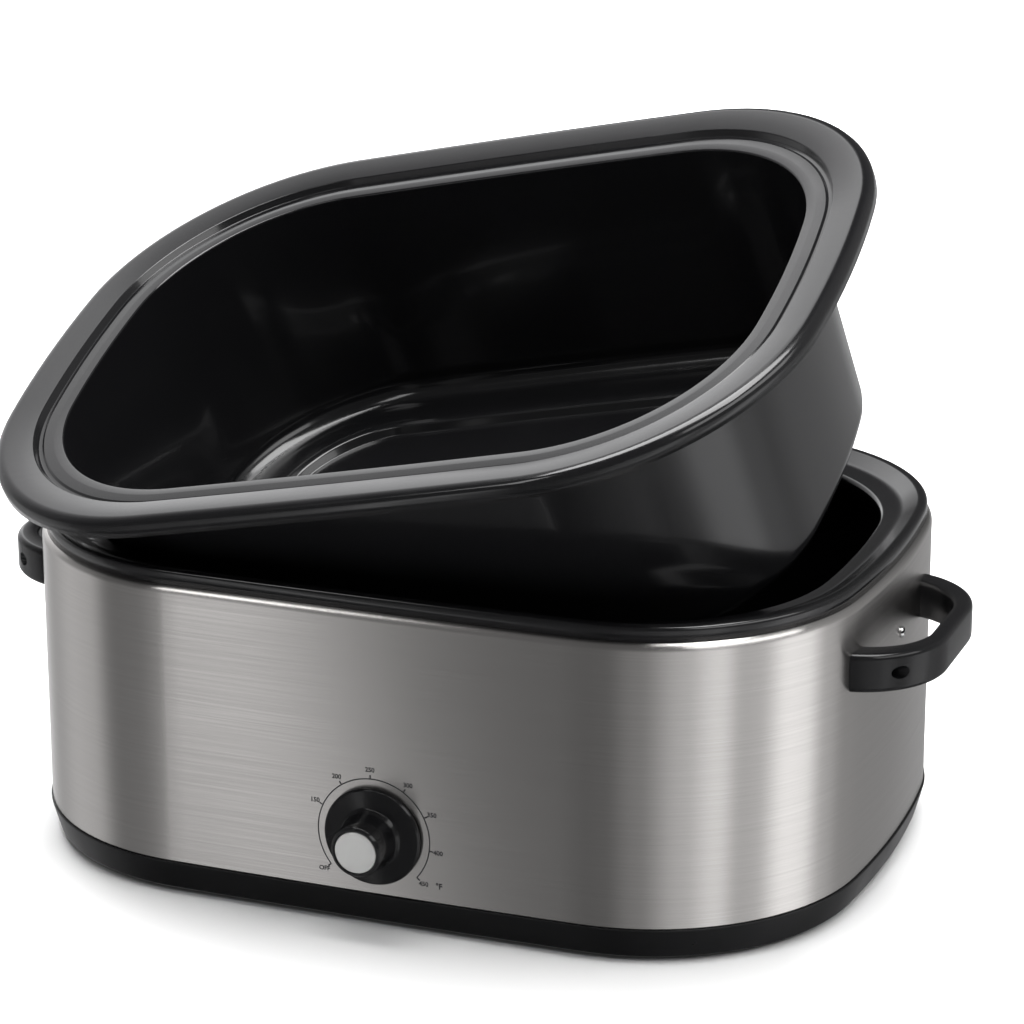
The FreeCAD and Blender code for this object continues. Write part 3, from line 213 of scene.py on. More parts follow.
def paint_room():
    """A world with one row of bands below the horizon and another above it."""
    world = bpy.data.worlds.new("studio_room")
    world.use_nodes = True
    tree = world.node_tree
    look = tree.nodes.new("ShaderNodeTexCoord")
    turn = tree.nodes.new("ShaderNodeMapping")
    turn.inputs["Rotation"].default_value = (0, 0, math.pi / 2)
    bearing = tree.nodes.new("ShaderNodeTexGradient")
    bearing.gradient_type = "RADIAL"
    tree.links.new(look.outputs["Generated"], turn.inputs["Vector"])
    tree.links.new(turn.outputs["Vector"], bearing.inputs["Vector"])
    parts = tree.nodes.new("ShaderNodeSeparateXYZ")
    tree.links.new(look.outputs["Generated"], parts.inputs["Vector"])
    background = tree.nodes["Background"]
    mix = tree.nodes.new("ShaderNodeMix")
    mix.data_type = "RGBA"
    # from one height angle to another: what changes, between which values, into which socket
    for low, high, start, end, socket in ((-6, 3, 0, 1, mix.inputs["Factor"]),
                                          (-50, -33, 0.3, 1, background.inputs["Strength"])):
        change = tree.nodes.new("ShaderNodeMapRange")
        change.interpolation_type = "SMOOTHSTEP"
        change.inputs["From Min"].default_value = math.sin(math.radians(low))
        change.inputs["From Max"].default_value = math.sin(math.radians(high))
        change.inputs["To Min"].default_value = start
        change.inputs["To Max"].default_value = end
        tree.links.new(parts.outputs["Z"], change.inputs["Value"])
        tree.links.new(change.outputs["Result"], socket)
    tree.links.new(band_ramp(tree, bearing.outputs["Fac"], LOW_BANDS), mix.inputs[MIX_A])
    tree.links.new(band_ramp(tree, bearing.outputs["Fac"], HIGH_BANDS), mix.inputs[MIX_B])
    tree.links.new(mix.outputs[MIX_RESULT], background.inputs["Color"])
    paper = tree.nodes.new("ShaderNodeBackground")
    paper.inputs["Color"].default_value = (1, 1, 1, 1)
    ray = tree.nodes.new("ShaderNodeLightPath")
    shown = tree.nodes.new("ShaderNodeMixShader")
    tree.links.new(ray.outputs["Is Camera Ray"], shown.inputs[0])
    tree.links.new(background.outputs["Background"], shown.inputs[1])
    tree.links.new(paper.outputs["Background"], shown.inputs[2])
    tree.links.new(shown.outputs["Shader"], tree.nodes["World Output"].inputs["Surface"])
    scene.world = world


paint_room()
print("bands of light:", len(LOW_BANDS), "low and", len(HIGH_BANDS), "high")

# %% [markdown]
# ## Finishes
# Each finish is one Principled shader. Textures drive only what varies over a surface; whatever is
# the same all over is typed into the shader. The textures read Object coordinates, so they are in
# metres and do not care how a mesh was made.

# %% Helpers for finishes


def start_finish(name, colour, roughness, metallic=0.0, **sockets):
    """A material with its plain values set. Returns it with its node tree and shader."""
    finish = bpy.data.materials.new(name)
    finish.use_nodes = True
    tree = finish.node_tree
    shader = tree.nodes["Principled BSDF"]
    shader.inputs["Base Color"].default_value = (*colour, 1)
    shader.inputs["Roughness"].default_value = roughness
    shader.inputs["Metallic"].default_value = metallic
    for socket, value in sockets.items():
        shader.inputs[socket.replace("_", " ")].default_value = value
    return finish, tree, shader


def stretched_noise(tree, stretch, scale, detail=3.0, rough=0.55):
    """Noise on Object coordinates, stretched by a scale for each axis. Returns its Factor."""
    place = tree.nodes.new("ShaderNodeTexCoord")
    mapping = tree.nodes.new("ShaderNodeMapping")
    mapping.inputs["Scale"].default_value = stretch
    noise = tree.nodes.new("ShaderNodeTexNoise")
    noise.inputs["Scale"].default_value = scale
    noise.inputs["Detail"].default_value = detail
    noise.inputs["Roughness"].default_value = rough
    tree.links.new(place.outputs["Object"], mapping.inputs["Vector"])
    tree.links.new(mapping.outputs["Vector"], noise.inputs["Vector"])
    return noise.outputs["Fac"]


def spread(tree, factor, low, high, from_low=0.3, from_high=0.7):
    """Maps a factor to a range."""
    node = tree.nodes.new("ShaderNodeMapRange")
    for socket, value in (("From Min", from_low), ("From Max", from_high),
                          ("To Min", low), ("To Max", high)):
        node.inputs[socket].default_value = value
    tree.links.new(factor, node.inputs["Value"])
    return node.outputs["Result"]


def blend_colours(tree, factor, dark, light):
    node = tree.nodes.new("ShaderNodeMix")
    node.data_type = "RGBA"
    node.inputs[MIX_A].default_value = (*dark, 1)
    node.inputs[MIX_B].default_value = (*light, 1)
    tree.links.new(factor, node.inputs["Factor"])
    return node.outputs[MIX_RESULT]


def emboss(tree, shader, factor, depth, strength):
    """Bumps the surface by a factor; depth is in metres."""
    bump = tree.nodes.new("ShaderNodeBump")
    bump.inputs["Strength"].default_value = strength
    bump.inputs["Distance"].default_value = depth
    tree.links.new(factor, bump.inputs["Height"])
    tree.links.new(bump.outputs["Normal"], shader.inputs["Normal"])


print("finish helpers ready")

# %% [markdown]
# ### Brushed stainless steel
# The wrap is rolled sheet with a fine grain that runs level round the box. Each scratch scatters
# light up and down but hardly sideways, so every softbox becomes an upright band. That is
# anisotropy. The shader needs to know which way is "round the box", so it reads the tangent of a
# UV map that the wrap gets below. Fine level streaks in roughness and bump do the rest.

# %% Brushed stainless steel
GRAIN_MAP = "round_the_box"


def make_brushed_steel():
    finish, tree, shader = start_finish(
        "brushed_stainless", (0.6, 0.582, 0.565), 0.22, 1.0, Anisotropic=0.97,
        Anisotropic_Rotation=0.25)
    tangent = tree.nodes.new("ShaderNodeTangent")
    tangent.direction_type = "UV_MAP"
    tangent.uv_map = GRAIN_MAP
    tree.links.new(tangent.outputs["Tangent"], shader.inputs["Tangent"])
    grain = stretched_noise(tree, (3, 3, 900), 1.6, 6.0, 0.7)
    tree.links.new(spread(tree, grain, 0.19, 0.27), shader.inputs["Roughness"])
    streaks = stretched_noise(tree, (5, 5, 420), 2.2, 5.0, 0.7)
    tree.links.new(blend_colours(tree, streaks, (0.55, 0.532, 0.515), (0.65, 0.632, 0.613)),
                   shader.inputs["Base Color"])
    emboss(tree, shader, grain, 0.00002, 0.2)
    return finish


steel = make_brushed_steel()

# %% [markdown]
# ### Black porcelain enamel
# The pan, the collar and the well are steel with glass melted onto it: deep black, wet-looking, and
# never quite flat. A broad, shallow noise gives the glass its slight orange peel, and a cloudy
# roughness gives it the handling marks that a mirror-perfect black lacks.

# %% Black porcelain enamel


def make_enamel(name, colour, gloss):
    finish, tree, shader = start_finish(name, colour, gloss, Coat_Weight=0.3,
                                        Coat_Roughness=0.05, Specular_IOR_Level=0.4)
    clouds = stretched_noise(tree, (1, 1, 1), 14.0, 4.0)
    tree.links.new(spread(tree, clouds, gloss * 0.7, gloss * 1.6), shader.inputs["Roughness"])
    peel = stretched_noise(tree, (1, 1, 1), 160.0, 2.0)
    emboss(tree, shader, peel, 0.0002, 0.12)
    return finish


BLACK, WORN_BLACK = (0.005, 0.005, 0.0055), (0.008, 0.008, 0.0085)
enamel = make_enamel("black_enamel", BLACK, 0.14)

# %% [markdown]
# ### Moulded plastics
# Handles and knob are a hard, half-gloss phenolic; the tray is a duller moulding. Both show the
# fine pebble that a mould leaves, and the tray is rubbed a little lighter in patches.

# %% Moulded plastics


def make_plastic(name, dark, light, gloss, pebble, depth, shine=0.3):
    finish, tree, shader = start_finish(name, dark, gloss, Specular_IOR_Level=shine)
    patches = stretched_noise(tree, (1, 1, 1), 22.0, 5.0)
    tree.links.new(blend_colours(tree, patches, dark, light), shader.inputs["Base Color"])
    tree.links.new(spread(tree, patches, gloss * 0.85, gloss * 1.2), shader.inputs["Roughness"])
    grain = stretched_noise(tree, (1, 1, 1), pebble, 2.0)
    emboss(tree, shader, grain, depth, 0.3)
    return finish


phenolic = make_plastic("handle_phenolic", BLACK, WORN_BLACK, 0.14, 900.0, 0.00006)
tray_plastic = make_plastic("tray_moulding", BLACK, WORN_BLACK, 0.32, 1400.0, 0.00012, shine=0.22)
rubber = make_plastic("black_rubber", (0.012, 0.012, 0.012), (0.02, 0.02, 0.02),
                      0.7, 700.0, 0.0001)
ink = make_plastic("dial_ink", (0.02, 0.02, 0.022), (0.035, 0.035, 0.037), 0.55, 900.0, 0.00001)
white_paint = make_plastic("pointer_paint", (0.75, 0.75, 0.73), (0.82, 0.82, 0.8),
                           0.4, 900.0, 0.00002)

# %% [markdown]
# ### Bright metal and the hidden parts
# Screws are plated and bright. The knob's disc is turned on a lathe, so its light runs in rings:
# the distance from the disc's centre drives a fine ring bump. The parts inside the shell get the
# plain but true finish of their material: zinc, mica, glass fibre, ceramic, copper.

# %% Bright metal and hidden parts
DIAL_CENTRE = (0.0032, -0.2075, 0.0598)


def make_metal(name, dark, light, gloss, grain_scale, stretch=(1, 1, 1)):
    finish, tree, shader = start_finish(name, light, gloss, 1.0)
    grain = stretched_noise(tree, stretch, grain_scale, 4.0)
    tree.links.new(blend_colours(tree, grain, dark, light), shader.inputs["Base Color"])
    tree.links.new(spread(tree, grain, gloss * 0.8, gloss * 1.3), shader.inputs["Roughness"])
    emboss(tree, shader, grain, 0.00002, 0.2)
    return finish


def make_turned_disc():
    finish, tree, shader = start_finish("turned_silver_disc", (0.58, 0.58, 0.57), 0.34, 0.4)
    place = tree.nodes.new("ShaderNodeTexCoord")
    centre = tree.nodes.new("ShaderNodeMapping")
    centre.vector_type = "POINT"
    centre.inputs["Location"].default_value = (-DIAL_CENTRE[0], 0, -DIAL_CENTRE[2])
    centre.inputs["Scale"].default_value = (1, 0, 1)
    rings = tree.nodes.new("ShaderNodeTexWave")
    rings.wave_type = "RINGS"
    rings.rings_direction = "SPHERICAL"
    rings.inputs["Scale"].default_value = 550.0
    rings.inputs["Distortion"].default_value = 1.0
    tree.links.new(place.outputs["Object"], centre.inputs["Vector"])
    tree.links.new(centre.outputs["Vector"], rings.inputs["Vector"])
    tree.links.new(spread(tree, rings.outputs["Color"], 0.28, 0.42, 0, 1),
                   shader.inputs["Roughness"])
    emboss(tree, shader, rings.outputs["Color"], 0.00001, 0.4)
    return finish


def make_matt(name, dark, light, rough, grain_scale, depth, stretch=(1, 1, 1)):
    finish, tree, shader = start_finish(name, light, rough)
    grain = stretched_noise(tree, stretch, grain_scale, 6.0)
    tree.links.new(blend_colours(tree, grain, dark, light), shader.inputs["Base Color"])
    emboss(tree, shader, grain, depth, 0.5)
    return finish


disc_metal = make_turned_disc()
bright = make_metal("bright_plating", (0.66, 0.66, 0.66), (0.8, 0.8, 0.8), 0.12, 400.0)
zinc = make_metal("zinc_sheet", (0.42, 0.43, 0.44), (0.62, 0.63, 0.64), 0.35, 70.0)
copper = make_metal("drawn_copper", (0.6, 0.3, 0.18), (0.82, 0.47, 0.32), 0.25, 120.0, (1, 8, 8))
mica = make_matt("mica_band", (0.45, 0.38, 0.28), (0.66, 0.58, 0.45), 0.45, 90.0, 0.0001,
                 (1, 1, 6))
fibre = make_matt("glass_fibre", (0.72, 0.69, 0.6), (0.9, 0.88, 0.8), 0.95, 260.0, 0.0012)
brown_phenolic = make_matt("brown_phenolic", (0.05, 0.035, 0.028), (0.1, 0.075, 0.06), 0.5,
                           200.0, 0.0001)
ceramic = make_matt("ceramic", (0.8, 0.78, 0.7), (0.9, 0.88, 0.83), 0.8, 300.0, 0.0001)
lead_sleeve = make_matt("lead_sleeve", (0.6, 0.59, 0.55), (0.78, 0.77, 0.72), 0.6, 500.0, 0.0001)
print("materials:", len(bpy.data.materials))

# %% Finishes for the CAD nodes that stay
SLOT_FINISHES = {
    "stainless_wrap": steel, "satin_black_tray": tray_plastic, "black_enamel": enamel,
    "handle_plastic": phenolic, "silver_insert": disc_metal, "bright_fastener": bright,
    "zinc_steel": zinc, "mica_band": mica, "glass_fibre": fibre, "phenolic": brown_phenolic,
    "ceramic": ceramic, "rubber_black": rubber, "copper": copper, "lead_sleeve": lead_sleeve,
}
for part in frame["record"]["subparts"]:
    node = frame["nodes"][part["node"]]
    for slot in node.material_slots:
        slot.material = SLOT_FINISHES[part["material_slot"]]
print("finishes given to", len(frame["nodes"]), "CAD nodes")

# %% [markdown]
# ## The oval plan
# Seen from above, every big part of the roaster is the same soft oval: two long sides with a faint
# bow, two rounder ends and four tight corners, all tangent. One quarter is enough, because the
# rest is its mirror image. A vertex at the right end is spun about the centre of the end's arc,
# then about the corner's and then about the side's. Bézier curves could trace it too, but spun
# arcs keep the exact radii, and every ring has the same vertices, so rings bridge cleanly.

# %% The oval plan
Plan = namedtuple("Plan", "half_length half_width side_radius end_radius corner_radius")
WRAP = Plan(280.0, 207.5, 7156.0, 736.0, 142.4)
COLLAR_WIDTH = 31.6
COLLAR_PARALLEL = 8.0
OPENING_CORNER = 128.5
PAN_CLEARANCE, PAN_SHEET, PAN_RIM_WIDTH, PAN_RIM_CORNER = 4.6, 1.0, 44.0, 160.0
END_STEPS, CORNER_STEPS, SIDE_STEPS = 8, 26, 12


def grown(plan, outward, corner=None):
    corner = outward if corner is None else corner
    return Plan(plan.half_length + outward, plan.half_width + outward,
                plan.side_radius + outward, plan.end_radius + outward,
                plan.corner_radius + corner)


def base_plan(outward):
    """The base's plan at a distance outside the wrap's face; the corners tighten on the collar."""
    corner_loss = OPENING_CORNER - WRAP.corner_radius
    if outward >= -COLLAR_PARALLEL:
        return grown(WRAP, outward)
    if outward > -COLLAR_WIDTH:
        share = (-outward - COLLAR_PARALLEL) / (COLLAR_WIDTH - COLLAR_PARALLEL)
        return grown(WRAP, outward, -COLLAR_PARALLEL + share * (corner_loss + COLLAR_PARALLEL))
    return grown(WRAP, outward, corner_loss + outward + COLLAR_WIDTH)


def pan_plan(outward):
    """The pan's plan at a distance outside its opening edge."""
    edge = grown(base_plan(-COLLAR_WIDTH), -PAN_CLEARANCE - PAN_SHEET)
    if outward <= 0:
        return grown(edge, outward)
    rate = (PAN_RIM_CORNER - edge.corner_radius) / PAN_RIM_WIDTH
    return grown(edge, outward, rate * outward)


def corner_centre(plan):
    """Centre of the circle that touches the side's and the end's circle from inside."""
    side_y = plan.half_width - plan.side_radius
    end_x = plan.half_length - plan.end_radius
    to_side, to_end = plan.side_radius - plan.corner_radius, plan.end_radius - plan.corner_radius
    span = math.hypot(end_x, side_y)
    along = (to_side ** 2 - to_end ** 2 + span ** 2) / (2 * span)
    across = math.sqrt(to_side ** 2 - along ** 2)
    unit_x, unit_y = end_x / span, -side_y / span
    return along * unit_x + across * unit_y, side_y + along * unit_y - across * unit_x


def spin_vertex(bm, vertex, centre, axis, angle, steps):
    """Spins one vertex into a chain of edges and returns the chain's last vertex."""
    spun = bmesh.ops.spin(bm, geom=[vertex], cent=centre, axis=axis, dvec=(0, 0, 0), angle=angle,
                          steps=steps, use_merge=False, use_duplicate=False)
    return next(item for item in spun["geom_last"] if isinstance(item, bmesh.types.BMVert))


def quarter_ring(bm, plan, height):
    """The edges of one quarter of the oval at a height, from the right end to the back."""
    end_x = plan.half_length - plan.end_radius
    side_y = plan.half_width - plan.side_radius
    corner_x, corner_y = corner_centre(plan)
    end_turn = math.atan2(corner_y, corner_x - end_x)
    side_start = math.atan2(corner_y - side_y, corner_x)
    known = set(bm.edges)
    tip = bm.verts.new(mm(plan.half_length, 0, height))
    tip = spin_vertex(bm, tip, mm(end_x, 0, height), (0, 0, 1), end_turn, END_STEPS)
    tip = spin_vertex(bm, tip, mm(corner_x, corner_y, height), (0, 0, 1), side_start - end_turn,
                      CORNER_STEPS)
    spin_vertex(bm, tip, mm(0, side_y, height), (0, 0, 1), math.pi / 2 - side_start, SIDE_STEPS)
    return [edge for edge in bm.edges if edge not in known]


print("a quarter of the plan has", END_STEPS + CORNER_STEPS + SIDE_STEPS, "edges")

# %% [markdown]
# ## Sheet sections
# Pressed sheet never has a sharp fold. Each section below is a short list of corners with a
# bending radius, and a helper turns every corner into a small arc. Bevelling the finished mesh
# would do the same, but only where there is room, and the radii would drift.

# %% Sheet sections
WELD, SAME_LEVEL = 0.000002, 0.00001


def rounded(corners, steps=6):
    """A section path from (outward, height, bending radius) corners."""
    path = [Vector(corners[0][:2])]
    for before, corner, after in zip(corners, corners[1:], corners[2:]):
        middle, radius = Vector(corner[:2]), corner[2]
        into = (Vector(before[:2]) - middle).normalized()
        out = (Vector(after[:2]) - middle).normalized()
        half = into.angle(out) / 2
        if radius == 0 or half > math.radians(89.5):
            path.append(middle)
            continue
        reach = radius / math.tan(half)
        centre = middle + (into + out).normalized() * (radius / math.sin(half))
        start, end = middle + into * reach - centre, middle + out * reach - centre
        turn = start.angle_signed(end)
        for step in range(steps + 1):
            path.append(centre + start @ Matrix.Rotation(turn * step / steps, 2))
    path.append(Vector(corners[-1][:2]))
    return path


def mirrored_whole(bm):
    """Completes a quarter by mirroring it across X and then across Y."""
    for axis in "XY":
        everything = bm.verts[:] + bm.edges[:] + bm.faces[:]
        bmesh.ops.mirror(bm, geom=everything, axis=axis, merge_dist=WELD)
    bmesh.ops.remove_doubles(bm, verts=bm.verts, dist=WELD)


def rim_at(bm, level):
    """The open edges at a height in millimetres."""
    return [edge for edge in bm.edges if edge.is_boundary
            and all(abs(vert.co.z - level * MM) < SAME_LEVEL for vert in edge.verts)]


def oval_shell(plan_at, path, floor_level=None):
    """A shell that follows a section round the oval, its faces looking to the path's right."""
    bm = bmesh.new()
    rings = [quarter_ring(bm, plan_at(outward), height) for outward, height in path]
    first = None
    for ring, following in zip(rings, rings[1:]):
        made = bmesh.ops.bridge_loops(bm, edges=ring + following)
        first = first or made["faces"][0]
    run = path[1] - path[0]
    outside = Vector((first.calc_center_median().x, first.calc_center_median().y, 0)).normalized()
    looks = outside * run.y - Vector((0, 0, run.x))
    mirrored_whole(bm)
    if floor_level is not None:
        bmesh.ops.edgeloop_fill(bm, edges=rim_at(bm, floor_level))
    bmesh.ops.recalc_face_normals(bm, faces=bm.faces)
    bm.normal_update()
    if first.normal.dot(looks) < 0:
        bmesh.ops.reverse_faces(bm, faces=bm.faces)
    return bm


print("section helpers ready")

# %% [markdown]
# ## Turning a bmesh into a piece
# Every piece ends the same way: its mesh is made smooth but for real edges, it gets its finish, it
# is hung on the CAD body it rides on, and the CAD nodes it stands for are hidden. A sheet gets its
# thickness from a Solidify modifier, always towards its back.

# %% Helpers for pieces
SHARP = math.radians(40)


def finish_piece(name, shape, finish, body, nodes=(), sheet=0.0, sharp=SHARP):
    """Makes a piece of a bmesh, or of a mesh that is already done."""
    mesh = as_mesh(name, shape) if isinstance(shape, bmesh.types.BMesh) else shape
    if not mesh.materials:
        mesh.materials.append(finish)
    mesh.shade_smooth()
    mesh.set_sharp_from_angle(angle=sharp)
    piece = add_object(name, mesh)
    if sheet:
        solid = piece.modifiers.new("sheet", "SOLIDIFY")
        solid.thickness = sheet * MM
        solid.offset = -1.0
        solid.use_even_offset = True
    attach(piece, body)
    if nodes:
        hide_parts(*nodes)
    sizes = [round(side / MM, 1) for side in piece.dimensions]
    print(f"{name}: {len(mesh.polygons)} faces, {sizes} mm")
    return piece


def shown_mesh(item):
    """The mesh that an object shows with its modifiers, or a text its letters."""
    bpy.context.view_layer.update()
    return bpy.data.meshes.new_from_object(
        item.evaluated_get(bpy.context.evaluated_depsgraph_get()))


def rod_between(bm, start, end, radius, segments=32):
    """A closed rod between two points in millimetres."""
    start, end = mm(*start), mm(*end)
    along = end - start
    turn = along.to_track_quat("Z", "Y").to_matrix().to_4x4()
    bmesh.ops.create_cone(bm, cap_ends=True, cap_tris=False, segments=segments,
                          radius1=radius * MM, radius2=radius * MM, depth=along.length,
                          matrix=Matrix.Translation((start + end) / 2) @ turn)


def cut_away(piece, bm):
    """Cuts the closed shapes of a bmesh out of a piece for good."""
    cutter = add_object("cutter", as_mesh("cutter", bm))
    cut = piece.modifiers.new("cut", "BOOLEAN")
    cut.operation = "DIFFERENCE"
    cut.solver = "EXACT"
    cut.object = cutter
    mesh = shown_mesh(piece)
    piece.modifiers.clear()
    piece.data = mesh
    bpy.data.objects.remove(cutter)
    mesh.set_sharp_from_angle(angle=SHARP)


def raised(bm, faces):
    """Extrudes faces, keeps the old ones and returns the new vertices."""
    lifted = bmesh.ops.extrude_face_region(bm, geom=faces, use_keep_orig=True)
    return [item for item in lifted["geom"] if isinstance(item, bmesh.types.BMVert)]


def ease(bm, edges, width, segments):
    """Rounds edges over a width in millimetres."""
    bmesh.ops.bevel(bm, geom=edges, offset=width * MM, offset_type="OFFSET", segments=segments,
                    profile=0.5, affect="EDGES", material=-1)


def spun_profile(bm, corners, centre, axis, outward, steps=64):
    """Turns (radius, height) corners, in millimetres, about an axis, as a lathe does."""
    axis, outward = Vector(axis), Vector(outward)
    verts = [bm.verts.new(centre + (outward * r + axis * h) * MM) for r, h in corners]
    edges = [bm.edges.new(pair) for pair in zip(verts, verts[1:])]
    bmesh.ops.spin(bm, geom=verts + edges, cent=centre, axis=axis, dvec=(0, 0, 0),
                   angle=2 * math.pi, steps=steps, use_merge=True, use_duplicate=False)
    bmesh.ops.remove_doubles(bm, verts=bm.verts, dist=WELD)
    bmesh.ops.recalc_face_normals(bm, faces=bm.faces)


print("piece helpers ready")

# %% [markdown]
# ## The steel wrap
# One long sheet is bent round the box and closed at the back. Its lower edge is turned in over the
# tray, and its upper edge rolls in under the collar; that rolled shoulder catches the brightest
# line of light on the object. The path below runs from the hidden flange, up the wall and over the
# shoulder.

# %% Steel wrap
TRAY_TOP, WRAP_TOP = 20.2, 206.0
GLAND_X, GLAND_LEVEL, GLAND_HOLE_RADIUS = 60, 42, 7.5
wrap_path = rounded([(-8, TRAY_TOP, 0), (0, TRAY_TOP, 1.0), (0, WRAP_TOP, 6.0),
                     (-10, WRAP_TOP, 0)], steps=8)
wrap_bm = oval_shell(base_plan, wrap_path)


def map_grain(mesh):
    """A UV map whose U runs round the box and whose V runs up it."""
    layer = mesh.uv_layers.new(name=GRAIN_MAP)
    for polygon in mesh.polygons:
        middle = math.atan2(polygon.center.y, polygon.center.x)
        for loop in polygon.loop_indices:
            spot = mesh.vertices[mesh.loops[loop].vertex_index].co
            angle = math.atan2(spot.y, spot.x)
            if abs(angle - middle) > math.pi:
                angle += math.copysign(2 * math.pi, middle)
            over = math.hypot(spot.x / WRAP.half_length, spot.y / WRAP.half_width) / MM
            layer.data[loop].uv = (angle / math.pi, spot.z * 4 - over * 0.2)


wrap = finish_piece("wrap_shell", wrap_bm, steel, "base", ["outer_wrap"],
                    sheet=0.8)
gland_hole = bmesh.new()
rod_between(gland_hole, (GLAND_X, 200, GLAND_LEVEL), (GLAND_X, 212, GLAND_LEVEL),
            GLAND_HOLE_RADIUS)
cut_away(wrap, gland_hole)
map_grain(wrap.data)

# %% [markdown]
# ### The seam at the back
# The wrap's two ends overlap in a narrow lap held by domed rivets. The lap is a strip of the same
# steel, lifted by one thickness, with its long edges eased by a bevel.

# %% Seam lap and rivets
LAP_WIDTH, LAP_LOW, LAP_HIGH, LAP_GAP, LAP_RISE = 14.0, 22.2, 198.0, 0.05, 0.75
RIVET_LOW, RIVET_HIGH, RIVETS = 40.2, 186.0, 5


def side_face(x):
    """How far the long side's face is from the middle plane at a place along X."""
    radius = WRAP.side_radius
    return WRAP.half_width - radius + math.sqrt(radius ** 2 - x * x)


def make_lap():
    bm = bmesh.new()
    bmesh.ops.create_grid(bm, x_segments=4, y_segments=12, size=0.5)
    bmesh.ops.scale(bm, verts=bm.verts, vec=(LAP_WIDTH * MM, (LAP_HIGH - LAP_LOW) * MM, 1))
    bmesh.ops.rotate(bm, verts=bm.verts, cent=(0, 0, 0),
                     matrix=Matrix.Rotation(-math.pi / 2, 3, "X"))
    bmesh.ops.translate(bm, verts=bm.verts, vec=mm(0, 0, (LAP_LOW + LAP_HIGH) / 2))
    for vert in bm.verts:
        vert.co.y = (side_face(vert.co.x / MM) + LAP_GAP) * MM
    bmesh.ops.translate(bm, verts=raised(bm, bm.faces[:]), vec=mm(0, LAP_RISE, 0))
    bmesh.ops.recalc_face_normals(bm, faces=bm.faces)
    rims = [edge for edge in bm.edges if edge.calc_face_angle(0) > math.radians(60)]
    ease(bm, rims, 0.2, 2)
    return bm


lap = finish_piece("wrap_lap", make_lap(), steel, "base")
map_grain(lap.data)
rivets_bm = bmesh.new()
dome = rounded([(0, 1.3, 0), (1.9, 1.3, 1.2), (3.0, 0.0, 0), (3.0, -0.4, 0)], steps=5)
lap_face = WRAP.half_width + LAP_GAP + LAP_RISE
for rivet in range(RIVETS):
    level = RIVET_LOW + (RIVET_HIGH - RIVET_LOW) * rivet / (RIVETS - 1)
    spun_profile(rivets_bm, dome, mm(0, lap_face, level), (0, 1, 0), (1, 0, 0), steps=24)
finish_piece("seam_rivet_heads", rivets_bm, bright, "base", ["seam_rivets"])

# %% [markdown]
# ## The tray
# The box stands in a black moulded tray that flares up to just outside the steel. The path starts
# on the flat underside; its last ring is filled to close the floor. Screw seats are cut into the
# underside, because someone will turn the roaster over.

# %% Tray and feet
FOOT_REACH, FOOT_HEIGHT = 150, 3
SEAT_RADIUS, SEAT_DEPTH = 4.6, 2.35


def four_places(x, y):
    """The four places at this distance from the middle, to the left and right, front and back."""
    return [(side * x, end * y) for side in (-1, 1) for end in (-1, 1)]


POSTS = four_places(200, 90)
tray_path = rounded([(-60, 0, 0), (-4.3, 0, 2.5), (1.0, 19.3, 1.2), (0.9, TRAY_TOP, 0.3),
                     (-0.4, TRAY_TOP, 0)])
tray_bm = oval_shell(base_plan, tray_path, floor_level=0.0)
tray = finish_piece("tray_moulding", tray_bm, tray_plastic, "base",
                    ["base_tray"], sheet=2.4)
seats = bmesh.new()
for x, y in POSTS:
    rod_between(seats, (x, y, -1), (x, y, SEAT_DEPTH), SEAT_RADIUS)
cut_away(tray, seats)
feet_bm = bmesh.new()
foot_section = rounded([(0, 0, 0), (9.0, 0, 0.8), (10.0, 2.95, 0.3), (0, 2.95, 0)], steps=4)
for x, y in four_places(FOOT_REACH, FOOT_REACH):
    spun_profile(feet_bm, foot_section, mm(x, y, -FOOT_HEIGHT), (0, 0, 1), (1, 0, 0), steps=32)
finish_piece("rubber_feet", feet_bm, rubber, "base",
             ["foot_front_left", "foot_front_right", "foot_rear_left", "foot_rear_right"])

# %% [markdown]
# ## Collar and well
# The collar is one pressed ring: a short skirt over the wrap, a crest, and a ledge that falls
# gently to a turned-down lip. The well is drawn from a second sheet that hangs 5 mm behind that
# lip, so a dark line shows between them.

# %% Collar and well
CREST, LEDGE, WELL_FLOOR = 215.4, 207.5, 43.0
collar_path = rounded([(-3.0, 205.8, 0), (-3.5, CREST, 3.2), (-9.0, CREST, 4.0),
                       (-20, LEDGE + 2, 16.0), (-31.6, LEDGE - 0.2, 3.0), (-31.6, 200, 0)],
                      steps=8)
finish_piece("collar_ring", oval_shell(base_plan, collar_path), enamel, "base",
             ["top_collar"], sheet=1.0)

well_path = rounded([(-20, 208.2, 0), (-26.6, 206.3, 1.6), (-26.6, WELL_FLOOR, 12.0),
                     (-110, WELL_FLOOR, 0)], steps=10)
finish_piece("well_basin", oval_shell(base_plan, well_path, floor_level=WELL_FLOOR), enamel,
             "base", ["inner_well"], sheet=0.8)

# %% [markdown]
# ## The pan
# The pan is modelled seated and level, then tipped as the CAD joint says, so its bends stay easy
# to read. From outside in: a turned-down skirt, a rolled edge, a wide flange that falls inward, a
# narrow groove, a raised ring round the mouth, then the deep wall and a floor with a half-round
# rib that keeps food off the hottest metal.

# %% Pan
PAN_SEAT = 210.437
PAN_DEPTH, PAN_DRAFT = 160.0, 6.6
PAN_FLOOR = PAN_SHEET - PAN_DEPTH
RIM_CORNER, RIM_ROLL, RIM_HEM = 8.7, 6.6, -4.0
FLANGE_EDGE, FLANGE_STEP, GROOVE_LEVEL = 18.6, 4.6, 0.2


